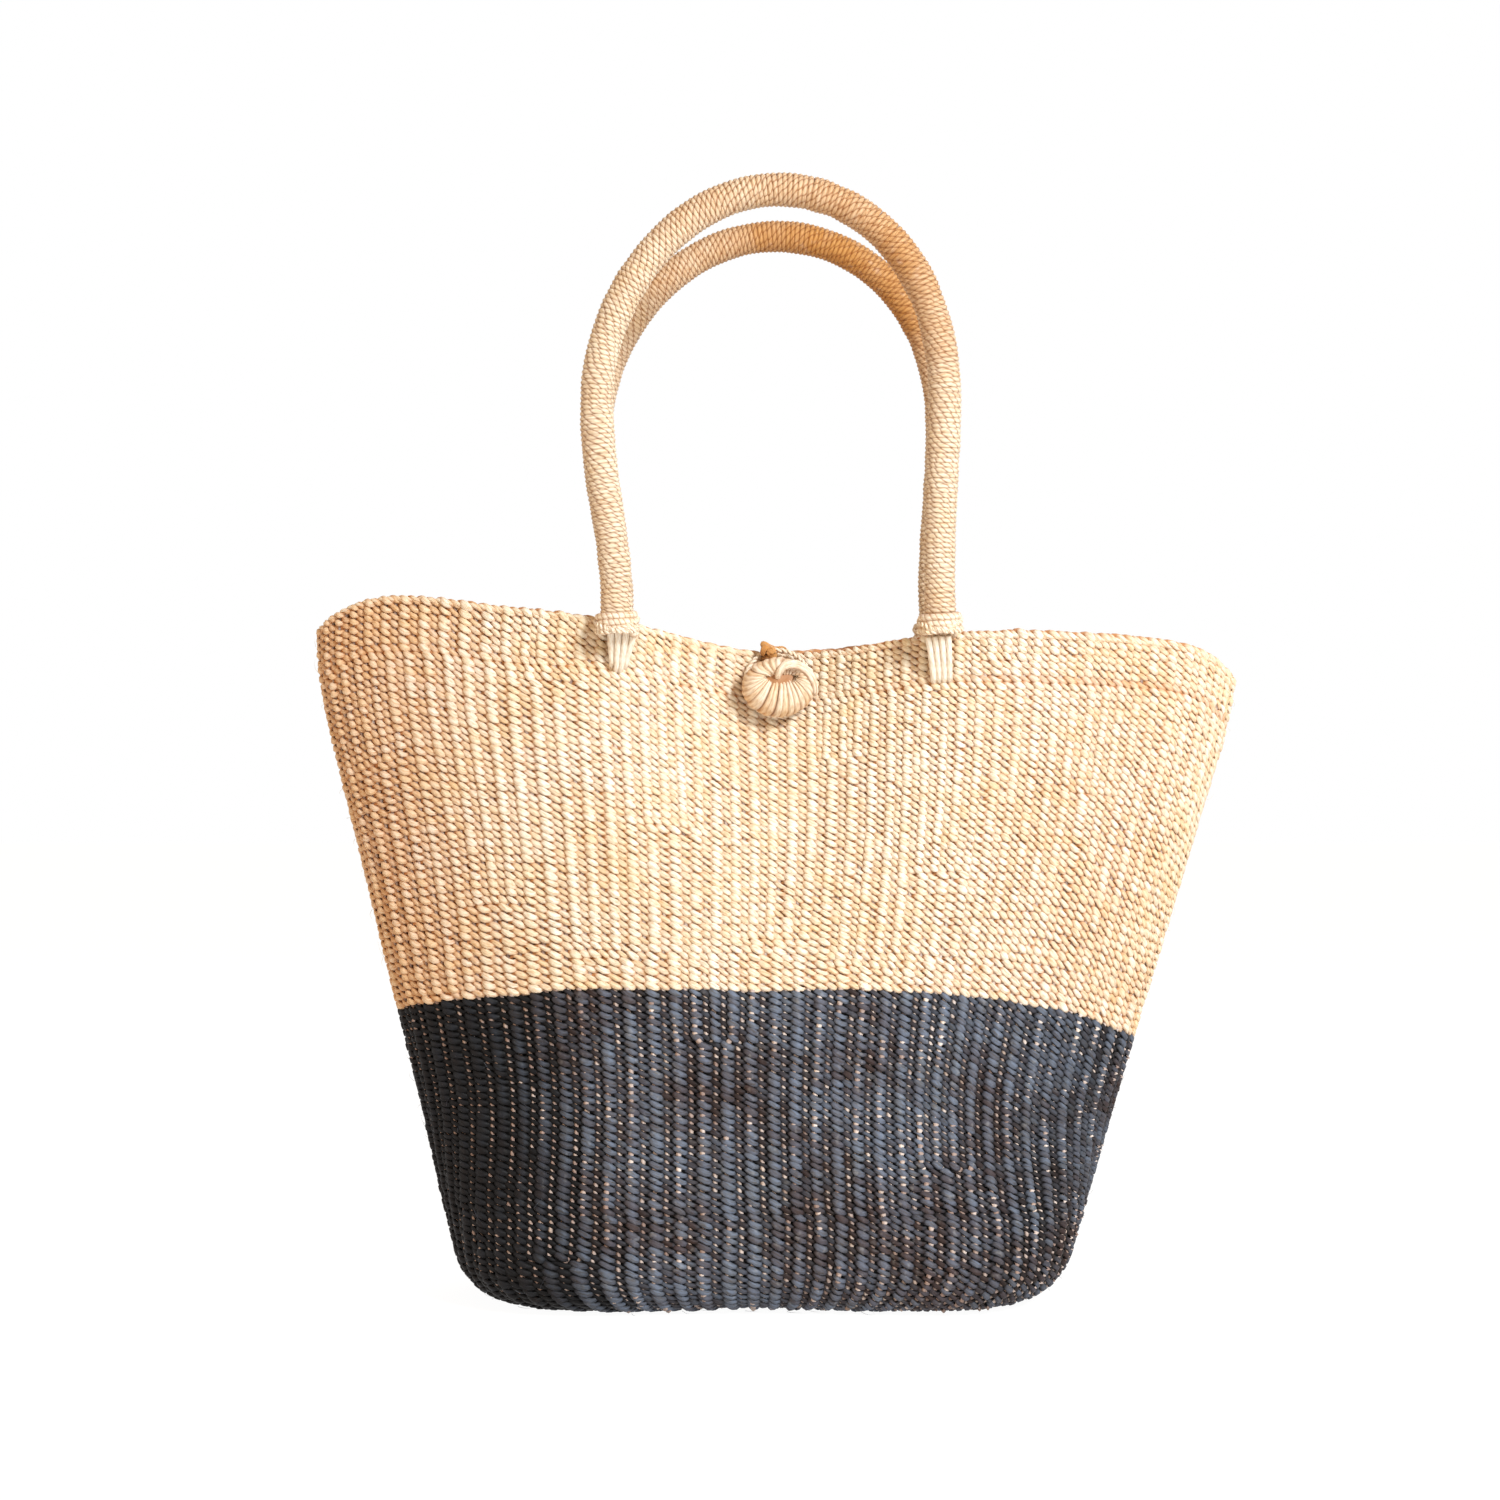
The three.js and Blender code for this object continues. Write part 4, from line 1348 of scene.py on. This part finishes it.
        # Painted shade along both edges of the cord, where its turns meet.
        edge = np.tile(edge_shade_by_side(8, 0.75), (len(wind), 1))
        strands.sweep(self.stand(centre), self._turned(away), *self.foot_cord, 0.25, edge)
        for i, (tilt, spin) in enumerate(((0.42, 0.9), (-0.36, 2.6))):
            turn = np.linspace(0.0, 2.0 * np.pi, 64, endpoint=False)
            ring = np.stack([np.cos(turn), np.sin(turn), tilt * np.sin(turn + spin)], -1)
            reach = self.cross_reach + 0.3 * i
            place = ring * [reach, reach, 9.0]
            place[:, 0] += side * self.foot_spacing / 2.0
            place[:, 2] += 1.0
            ring = unit(ring)
            place, out = self.stand(place), self._turned(ring)
            twist_plies(strands, place, out, self.cross_width, self.cross_lay, rng, ring=True, tone=0.25)
        name, node = f"{label}_foot_binding", f"{label}_collar"
        self._hang(strands, name, self.finishes.binding, node)

    def build(self) -> None:
        """Makes the handle's pieces."""
        self._wrap()
        self._core()
        self._foot(-1.0, "left")
        self._foot(1.0, "right")


@dataclass
class Anchors:
    """The parallel cords that sew each handle foot to the wall, outside and inside."""

    shape: WallShape
    finishes: Finishes
    front_foot: float = 81.5
    back_foot: float = 85.0
    strands: int = 4
    spacing: float = 3.7
    width: float = 4.1
    top: float = 4.5
    bottom: float = 27.0
    inside_drop: float = 8.0
    right_drop: float = -2.4
    taper: float = 0.42
    reach: float = 12.5
    seed: int = 83

    def _strip(self, face: str, side: float, label: str, inside: bool) -> None:
        """Makes one row of sewing cords.

        Args:
            face: "front" or "back".
            side: -1 for the left foot, 1 for the right.
            label: "left" or "right".
            inside: True for the row inside the bag.
        """
        rng = np.random.default_rng(self.seed + int(side) + 3 * (face == "back") + 9 * inside)
        back = face == "back"
        bundle = Strands(6)
        count = self.strands
        for i in range(count):
            place = (i - (count - 1) / 2.0) * self.spacing
            share = np.linspace(0.0, 1.0, 40)
            narrow = 1.0 - (self.taper * share if side < 0 else 0.2 + 0.1 * share)
            top = self.top + (self.inside_drop if inside else self.right_drop if side > 0 else 0.0)
            low = self.bottom - (2.2 * abs(i - (count - 1) / 2.0) if side < 0 else 1.6 + 1.2 * rng.random())
            drop = top + (low - top) * share
            rise = self.shape.rim_rise - drop
            lifted = 0.0 if inside else self.reach * (1.0 - share) ** 1.2
            sunk = 3.2 * smoothstep(share, 0.88, 1.0)
            surface = self.shape.wall + 3.6 if inside else -1.1
            depth = surface + (-sunk if inside else sunk - lifted)
            foot = side * (self.back_foot if back else self.front_foot)
            x = foot + place * narrow + (0.4 if side < 0 else 1.8)
            angle = self.shape.angle_at(x, rise, back)
            path, out = self.shape.place(rise, angle, depth)
            thin = self.width * (0.48 + 0.04 * rng.random()) * (1.0 - (0.3 * share if side < 0 else 0.18))
            # Painted shade along the cords' edges and where they go into the wall.
            sunk = np.clip(edge_shade_by_side(6, 0.2) + 0.4 * smoothstep(share, 0.92, 1.0)[:, None], 0.0, 1.0)
            bundle.sweep(path, -out if inside else out, thin, thin * 0.85, 0.1 * rng.random(), sunk)
        inner = "inner_anchor" if inside else "anchor"
        piece = bundle.build(f"{face}_{label}_{inner}_cords", self.finishes.sewn)
        finish_piece(piece, Body.ROOT, Slot.BINDING, f"{face}_{label}_{inner}")

    def build(self) -> None:
        """Makes all eight rows."""
        for face in ("front", "back"):
            for side, label in ((-1.0, "left"), (1.0, "right")):
                for inside in (False, True):
                    self._strip(face, side, label, inside)


@dataclass
class Closure:
    """The wound knot on its shank, the loop that holds it, and the braided tab of the loop."""

    shape: WallShape
    finishes: Finishes
    knot_y: float = -28.107
    knot_z: float = 314.5
    ring: float = 8.4
    tube: float = 8.9
    half_width: float = 18.6
    half_height: float = 15.2
    dimple: tuple[float, float] = (1.6, 4.6)
    furrow: float = 0.34
    turns: int = 30
    shank_y: float = -17.7594
    shank_width: float = 2.6
    shank_lay: float = 5.0
    shank_reach: float = 1.5
    stitch_width: float = 2.2
    hinge: Place = (0.0, -13.2169, 333.6112)
    stitch_pitch: float = 1.9
    loop_lean: float = 16.5
    loop_half_width: float = 16.9
    loop_half_height: float = 17.9
    loop_width: float = 2.5
    loop_lay: float = 6.0
    tab_back: float = 20.0
    tab_step: float = 0.7
    tab_lay: float = 11.0
    tab_reach: float = 3.5
    tab_strand: tuple[float, float] = (1.75, 1.0)
    seam_half_width: float = 6.8
    seam_pitch: float = 1.7
    seam_cord: float = 2.0
    seam_lay: float = 5.0
    seed: int = 101

    def build(self) -> None:
        """Makes the closure's pieces."""
        self._knot()
        self._shank()
        self._loop()
        self._tab()
        self._seam()

    def _knot_point(self, spoke: np.ndarray, turn: np.ndarray, sink: float) -> Placed:
        """Points on the knot's wound surface.

        Args:
            spoke: direction round the knot's face, 0 to the right and a quarter turn upwards.
            turn: way round the winding: 0 outermost, a quarter turn frontmost, half a turn in the dimple.
            sink: how far inside the surface.

        Returns:
            The points and the outward directions there.
        """
        def surface(s: np.ndarray, t: np.ndarray) -> np.ndarray:
            """Finds the surface's points.

            Args:
                s: direction round the knot's face.
                t: way round the winding.

            Returns:
                The points.
            """
            share = (self.ring + self.tube * np.cos(t)) / (self.ring + self.tube)
            share = np.maximum(share, 0.02)
            edge_x = self.half_width * np.cos(s)
            edge_z = self.half_height * np.sin(s) - 0.4
            x = self.dimple[0] * (1.0 - share) + edge_x * (self.furrow + (1.0 - self.furrow) * share)
            z = self.dimple[1] * (1.0 - share) + edge_z * share
            y = -self.tube * np.sin(t)
            return np.stack([x, y, z], -1)

        point = surface(spoke, turn)
        across = surface(spoke + 0.01, turn) - surface(spoke - 0.01, turn)
        around = surface(spoke, turn + 0.01) - surface(spoke, turn - 0.01)
        out = unit(np.cross(around, across))
        middle = surface(spoke, np.zeros_like(turn)) * (self.ring / (self.ring + self.tube))
        flip = np.sign(((point - middle) * out).sum(-1, keepdims=True))
        out = out * np.where(flip == 0, 1, flip)
        return point - out * sink, out

    def _knot(self) -> None:
        """Makes the knot: turns of cord through the dimple, and the end that curls over them."""
        rng = np.random.default_rng(self.seed)
        strands = Strands(8)
        edge = edge_shade_by_side(8, 0.95, 3)
        origin = np.array([0.0, self.knot_y, self.knot_z])
        for i in range(self.turns):
            lean = 0.008 * rng.standard_normal()
            turn = np.linspace(-np.pi, np.pi, 44, endpoint=False)
            spoke = 2.0 * np.pi * (i + 0.07 * rng.standard_normal()) / self.turns
            spoke = spoke + lean + 0.14 * np.sin(turn)
            sink = 1.5 + 0.15 * rng.standard_normal()
            hollow = np.exp(-(((spoke % (2 * np.pi)) - 0.95) / 0.42) ** 2)
            dip = 2.6 * hollow * np.exp(-(((turn - 1.75) / 0.6) ** 2))
            centre, out = self._knot_point(spoke, turn, 0.0)
            centre = centre - out * (sink + dip)[:, None]
            near = np.hypot(centre[:, 0] - self.dimple[0], centre[:, 2] - self.dimple[1])
            beside = self._knot_point(spoke + 0.02, turn, 0.0)[0] - self._knot_point(spoke, turn, 0.0)[0]
            wide = np.clip(np.linalg.norm(beside, axis=-1) / 0.02 * np.pi / self.turns * 1.32, 0.6, 2.3)
            # Painted shade round the dimple, in the hollow under the curl and on the back half of each
            # turn, which also turns mellow there.
            painted_shade = 0.4 * np.exp(-near / 2.2) + 0.3 * (dip > 0.8) + 0.25 * smoothstep(-turn, -1.2, 0.6)
            painted_shade = np.clip(painted_shade[:, None] + edge, 0.0, 1.0)
            tone = 0.2 + 0.15 * rng.standard_normal() + 0.5 * smoothstep(-turn, -1.3, 0.2)
            strands.sweep(centre + origin, out, wide, 1.75, tone, painted_shade, ring=True)
        # The last turn leaves the dimple, runs over the others to the right and goes in at the side.
        steps = 70
        along = np.linspace(0.0, 6.0, steps)
        spoke = np.radians(np.interp(along, np.arange(7), [112, 96, 78, 58, 36, 12, -14]))
        turn = np.radians(np.interp(along, np.arange(7), [168, 112, 74, 54, 44, 36, 8]))
        path, out = self._knot_point(spoke, turn, -0.9)
        path = smoothed(path)
        swell = 0.55 + 0.45 * np.sin(np.pi * np.linspace(0.08, 0.98, steps)) ** 0.6
        # Painted shade along the curl's edges.
        strands.sweep(path + origin, out, 1.9 * swell, 1.9 * swell, 0.05, np.tile(0.8 * edge, (steps, 1)))
        path, out = self._knot_point(spoke + 0.03, turn + 0.27, -0.4)
        strands.sweep(path + origin, out, 1.7 * swell, 1.5 * swell, 0.1, np.tile(0.9 * edge, (steps, 1)))
        # The heart is painted mostly in the deep colour, as painted shade where it shows between the turns.
        heart = Strands(8)
        axis = np.stack([np.zeros(9), np.linspace(-7.0, 7.0, 9), np.full(9, 0.6)], -1)
        bulge = np.sqrt(np.clip(1.0 - (np.linspace(-1, 1, 9) * 0.98) ** 2, 0.02, 1.0))
        heart.sweep(axis + origin, np.tile([0.0, 0.0, 1.0], (9, 1)), 14.5 * bulge, 11.5 * bulge, 0.6, 0.9)
        piece = strands.build("wound_knot", self.finishes.knot)
        finish_piece(piece, Body.KNOT, Slot.KNOT, "closure_knot")
        finish_piece(heart.build("knot_heart", self.finishes.knot), Body.KNOT, Slot.KNOT)

    def _shank(self) -> None:
        """Makes the cords that hold the knot, and the stitches that hold them inside."""
        rng = np.random.default_rng(self.seed + 1)
        strands = Strands(6)
        for i in range(4):
            turn = 2.0 * np.pi * i / 4.0 + 0.4
            share = np.linspace(0.0, 1.0, 14)
            spin = turn + share * 1.6
            y = self.shank_y - 4.5 + 6.6 * share
            x, z = self.shank_reach * np.cos(spin), self.shank_reach * np.sin(spin)
            path = np.stack([x, y, self.knot_z + z], -1)
            out = np.stack([np.cos(spin), np.zeros(14), np.sin(spin)], -1)
            twist_plies(strands, path, out, self.shank_width, self.shank_lay, rng, tone=0.5)
        finish_piece(strands.build("shank_cords", self.finishes.knot), Body.KNOT, Slot.KNOT, "knot_shank")
        pad = Strands(6)
        low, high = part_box("shank_pad")
        x = np.linspace(low[0], high[0], 24) / MM
        middle_z = (low[2] + high[2]) / 2.0 / MM
        rise = self.shape.rim_rise - (self.shape.outer(self.shape.rim_rise, 0.0)[2] - middle_z)
        for i in range(3):
            height = np.full_like(x, rise + (i - 1) * self.stitch_pitch)
            angle = self.shape.angle_at(x, height, False)
            path, out = self.shape.place(height, angle, self.shape.wall + 4.0)
            twist_plies(pad, path, -out, self.stitch_width, self.shank_lay, rng, tone=0.4, taper=1.5)
        piece = pad.build("shank_stitches", self.finishes.binding)
        finish_piece(piece, Body.ROOT, Slot.BINDING, "shank_pad")

    def _loop(self) -> None:
        """Makes the two-ply cord loop round the knot's shank."""
        rng = np.random.default_rng(self.seed + 2)
        turn = np.linspace(0.0, 2.0 * math.pi, 90, endpoint=False)
        x = self.loop_half_width * np.sin(turn)
        down = self.loop_half_height * (1.0 - np.cos(turn))
        path = even_path(np.stack([x, np.zeros_like(x), -down], -1), 0.8, ring=True)
        lean = math.radians(self.loop_lean)
        y = path[:, 2] * math.sin(lean)
        height = path[:, 2] * math.cos(lean)
        placed = np.stack([path[:, 0], y, height], -1) + self.hinge
        out = np.tile([0.0, -math.cos(lean), math.sin(lean)], (len(path), 1))
        strands = Strands(6)
        twist_plies(strands, placed, out, self.loop_width, self.loop_lay, rng, ring=True, tone=0.2)
        finish_piece(strands.build("loop_cord", self.finishes.knot), Body.LOOP, Slot.KNOT, "closure_loop")

    def _tab_line(self) -> Placed:
        """Draws the tab's centre line, from the back wall over the rims to the loop.

        Returns:
            Its points and the directions of the tab's outer side.
        """
        rise = self.shape.rim_rise - np.linspace(self.tab_back, 3.0, 16)
        back, _ = self.shape.place(rise, np.full(16, math.pi), -2.6)
        top = self.shape.outer(self.shape.rim_rise, 0.0)[2] + 1.6
        route = [
            (12.0, -0.4), (9.5, 0.8), (4.0, 1.1), (-4.0, 0.9), (-9.0, 0.9), (-13.0, 0.9),
            (-15.4, -0.4), (-16.2, -2.6), (-15.6, -5.0),
        ]
        over = np.array([(0.0, y, top + lift) for y, lift in route])
        path = even_path(np.concatenate([back, over]), self.tab_step)
        path[:, 0] = -5.0 * smoothstep(-path[:, 1], -6.0, 11.0)
        path = smoothed(path)
        tangent = unit(np.gradient(path, axis=0))
        return path, np.cross([1.0, 0.0, 0.0], tangent) * -1.0

    def _tab(self) -> None:
        """Makes the flat braid of three cords, its front end twisted so that the left edge stands up."""
        rng = np.random.default_rng(self.seed + 3)
        path, out = self._tab_line()
        out = out * np.sign(out[:, 2:3] + 1e-9 + (path[:, 1:2] > 14.0))
        length = np.linspace(0.0, 1.0, len(path))
        twist = 0.6 * smoothstep(length, 0.5, 0.8)
        side = np.tile([1.0, 0.0, 0.0], (len(path), 1))
        flat_side = unit(side * np.cos(twist)[:, None] - out * np.sin(twist)[:, None])
        face = unit(out * np.cos(twist)[:, None] + side * np.sin(twist)[:, None])
        total = len(path) * self.tab_step
        strands = Strands(6)
        for i in range(3):
            wave = 2.0 * np.pi * (length * total / self.tab_lay + i / 3.0)
            across = self.tab_reach * np.sin(wave)
            over = 0.85 * np.sin(2.0 * wave)
            centre = path + flat_side * across[:, None] + face * (over + 1.0 * twist)[:, None]
            tone = 0.3 + 0.25 * rng.standard_normal()
            # Painted shade where a strand passes under the others.
            sunk = 0.5 - 0.5 * np.sin(2.0 * wave)
            strands.sweep(centre, face, *self.tab_strand, tone, 0.55 * sunk)
        finish_piece(strands.build("braided_tab", self.finishes.tab), Body.ROOT, Slot.BINDING, "loop_tab")

    def _seam(self) -> None:
        """Makes the stitches that sew the tab's foot to the back wall."""
        rng = np.random.default_rng(self.seed + 4)
        strands = Strands(6)
        for i in range(4):
            x = np.linspace(-self.seam_half_width, self.seam_half_width, 26)
            rise = self.shape.rim_rise - self.tab_back + 1.0 + i * self.seam_pitch + 0.12 * x * (-1) ** i
            angle = self.shape.angle_at(-x, rise, True)
            over = 4.4 - 3.6 * smoothstep(np.abs(x), 4.6, self.seam_half_width)
            path, out = self.shape.place(rise, angle, -over)
            twist_plies(strands, path, out, self.seam_cord, self.seam_lay, rng, tone=0.3, taper=1.2)
        piece = strands.build("tab_stitches", self.finishes.binding)
        finish_piece(piece, Body.ROOT, Slot.BINDING, "loop_tab_seam")


@dataclass
class StrayFibres:
    """Fine fibre ends that stand off the weave."""

    shape: WallShape
    finishes: Finishes
    count: int = 520
    thickness: float = 0.09
    mean_radius: float = 170.0
    seed: int = 5

    def build(self) -> None:
        """Makes the stray fibres of the pale wall and of the dark band."""
        rng = np.random.default_rng(self.seed)
        band = self.shape.band_rise
        for name, low, high, finish, slot in (
            ("stray_dark_fibres", 6.0, band - 3.0, self.finishes.dark, Slot.DARK),
            ("stray_pale_fibres", band + 3.0, self.shape.rim_rise - 1.0, self.finishes.pale, Slot.PALE),
        ):
            strands = Strands(3)
            for _ in range(self.count // 2):
                rise = rng.uniform(low, high)
                angle = rng.uniform(-math.pi, math.pi)
                reach = rng.uniform(4.0, 15.0)
                share = np.linspace(0.0, 1.0, 7)
                heading = rng.uniform(-0.9, 0.9)
                lift = rng.uniform(0.4, 2.4) * np.sin(np.pi * share * rng.uniform(0.5, 0.95))
                rises = rise + reach * share * math.sin(heading) + rng.normal(0.0, 0.7) * share**2
                angles = angle + reach * share * math.cos(heading) / self.mean_radius
                path, out = self.shape.place(np.minimum(rises, self.shape.rim_rise), angles, -(0.1 + lift))
                path[:, 2] = np.maximum(path[:, 2], 0.3)
                thin = self.thickness * (1.1 - share)
                strands.sweep(path, out, thin, thin, rng.random(), 0.0)
            finish_piece(strands.build(name, finish), Body.ROOT, slot)


@dataclass(frozen=True)
class Studio:
    """The floor, the soft lights and the camera, placed as the photograph was taken."""

    camera_place: Place = (-0.0144, -1.46, 0.282)
    lens: float = 67.2
    aim_height: float = 0.25
    floor_colour: Colour = (0.85, 0.85, 0.85)
    floor_glow: float = 0.86
    sky_colour: Colour = (1.0, 0.76, 0.5)
    sky_strength: float = 0.46

    def build(self) -> None:
        """Makes the studio round the bag."""
        self._camera()
        self._floor()
        self._world()
        self._lamp("key_light", (0.98, -1.42, 1.22), size=0.45, power=39.5, tint=(0.95, 0.99, 1.0))
        self._lamp("left_fill", (-1.5, -0.6, 0.4), size=0.9, power=4.6, tint=(1.0, 0.62, 0.34))
        self._lamp("back_fill", (0.4, 1.5, 1.2), size=0.9, power=10.0, tint=(1.0, 0.96, 0.92))
        bpy.context.scene.view_settings.view_transform = "Standard"

    def _camera(self) -> None:
        """Makes the camera, level with the middle of the photograph."""
        data = bpy.data.cameras.new("photo_camera")
        data.lens = self.lens
        data.sensor_width = 36.0
        data.clip_end = 50.0
        camera = bpy.data.objects.new("photo_camera", data)
        camera.location = self.camera_place
        camera.rotation_euler = (math.pi / 2.0, 0.0, 0.0)
        bpy.context.scene.collection.objects.link(camera)
        bpy.context.scene.camera = camera

    def _floor(self) -> None:
        """Makes the white floor, which keeps the bag's shadow faintly."""
        for chosen in bpy.context.selected_objects:
            chosen.select_set(False)
        bpy.ops.mesh.primitive_plane_add(size=14.0, location=(0.0, 0.0, -0.0005))
        floor = bpy.context.active_object
        floor.name = "studio_floor"
        paper = bpy.data.materials.new("white_paper")
        sketch = NodeSketch(paper)
        lit = sketch.add("BsdfDiffuse", {"Color": (*self.floor_colour, 1.0)})
        plain = sketch.add("Emission", {"Strength": 1.12})
        share = sketch.maths("MULTIPLY", sketch.seen(), self.floor_glow)
        mix = sketch.add(
            "MixShader", {"Fac": share, 1: lit.outputs["BSDF"], 2: plain.outputs["Emission"]}
        )
        sketch.add("OutputMaterial", {"Surface": mix.outputs["Shader"]})
        floor.data.materials.append(paper)
        floor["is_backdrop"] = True

    def _world(self) -> None:
        """Makes a world that is white to the camera and a soft grey light to the bag."""
        world = bpy.data.worlds.new("studio_world")
        bpy.context.scene.world = world
        sketch = NodeSketch(world)
        soft = sketch.add("Background", {"Color": (*self.sky_colour, 1.0), "Strength": self.sky_strength})
        white = sketch.add("Background", {"Color": (1.0, 1.0, 1.0, 1.0), "Strength": 1.0})
        mix = sketch.add("MixShader", {
            "Fac": sketch.seen(), 1: soft.outputs["Background"], 2: white.outputs["Background"],
        })
        sketch.add("OutputWorld", {"Surface": mix.outputs["Shader"]})

    def _lamp(self, name: str, place: Place, size: float, power: float, tint: Colour) -> None:
        """Makes a soft square lamp that faces the middle of the bag.

        Args:
            name: its name.
            place: where it stands, in metres.
            size: its side, in metres.
            power: its power, in watts.
            tint: its colour.
        """
        data = bpy.data.lights.new(name, "AREA")
        data.size = size
        data.energy = power
        data.color = tint
        lamp = bpy.data.objects.new(name, data)
        lamp.location = place
        aim = np.array([0.0, 0.0, self.aim_height]) - np.array(place)
        flat = math.hypot(aim[0], aim[1])
        lamp.rotation_euler = (math.atan2(flat, -aim[2]), 0.0, math.atan2(-aim[0], aim[1]))
        bpy.context.scene.collection.objects.link(lamp)


def corners() -> list[list[float]]:
    """Returns the lowest and highest corner of what shows, in metres."""
    return [[float(value) for value in corner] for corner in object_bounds()]


def main() -> None:
    """Builds the bag's looks round its frame."""
    logging.basicConfig(level=logging.INFO, format="%(name)s: %(message)s")
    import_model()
    shape = WallShape()
    finishes = Finishes.make()
    TwinedWall(shape, finishes).build()
    RimAndHem(shape, finishes).build()
    RopeHandle("front_handle", True, Body.FRONT_HANDLE, finishes).build()
    RopeHandle(
        "back_handle", False, Body.BACK_HANDLE, finishes,
        top=560.5, half_width=93.0, foot_spacing=170.0, foot_y=49.2064, arch_shade=0.42,
    ).build()
    Anchors(shape, finishes).build()
    Closure(shape, finishes).build()
    StrayFibres(shape, finishes).build()
    Studio().build()


if __name__ == "__main__":
    main()
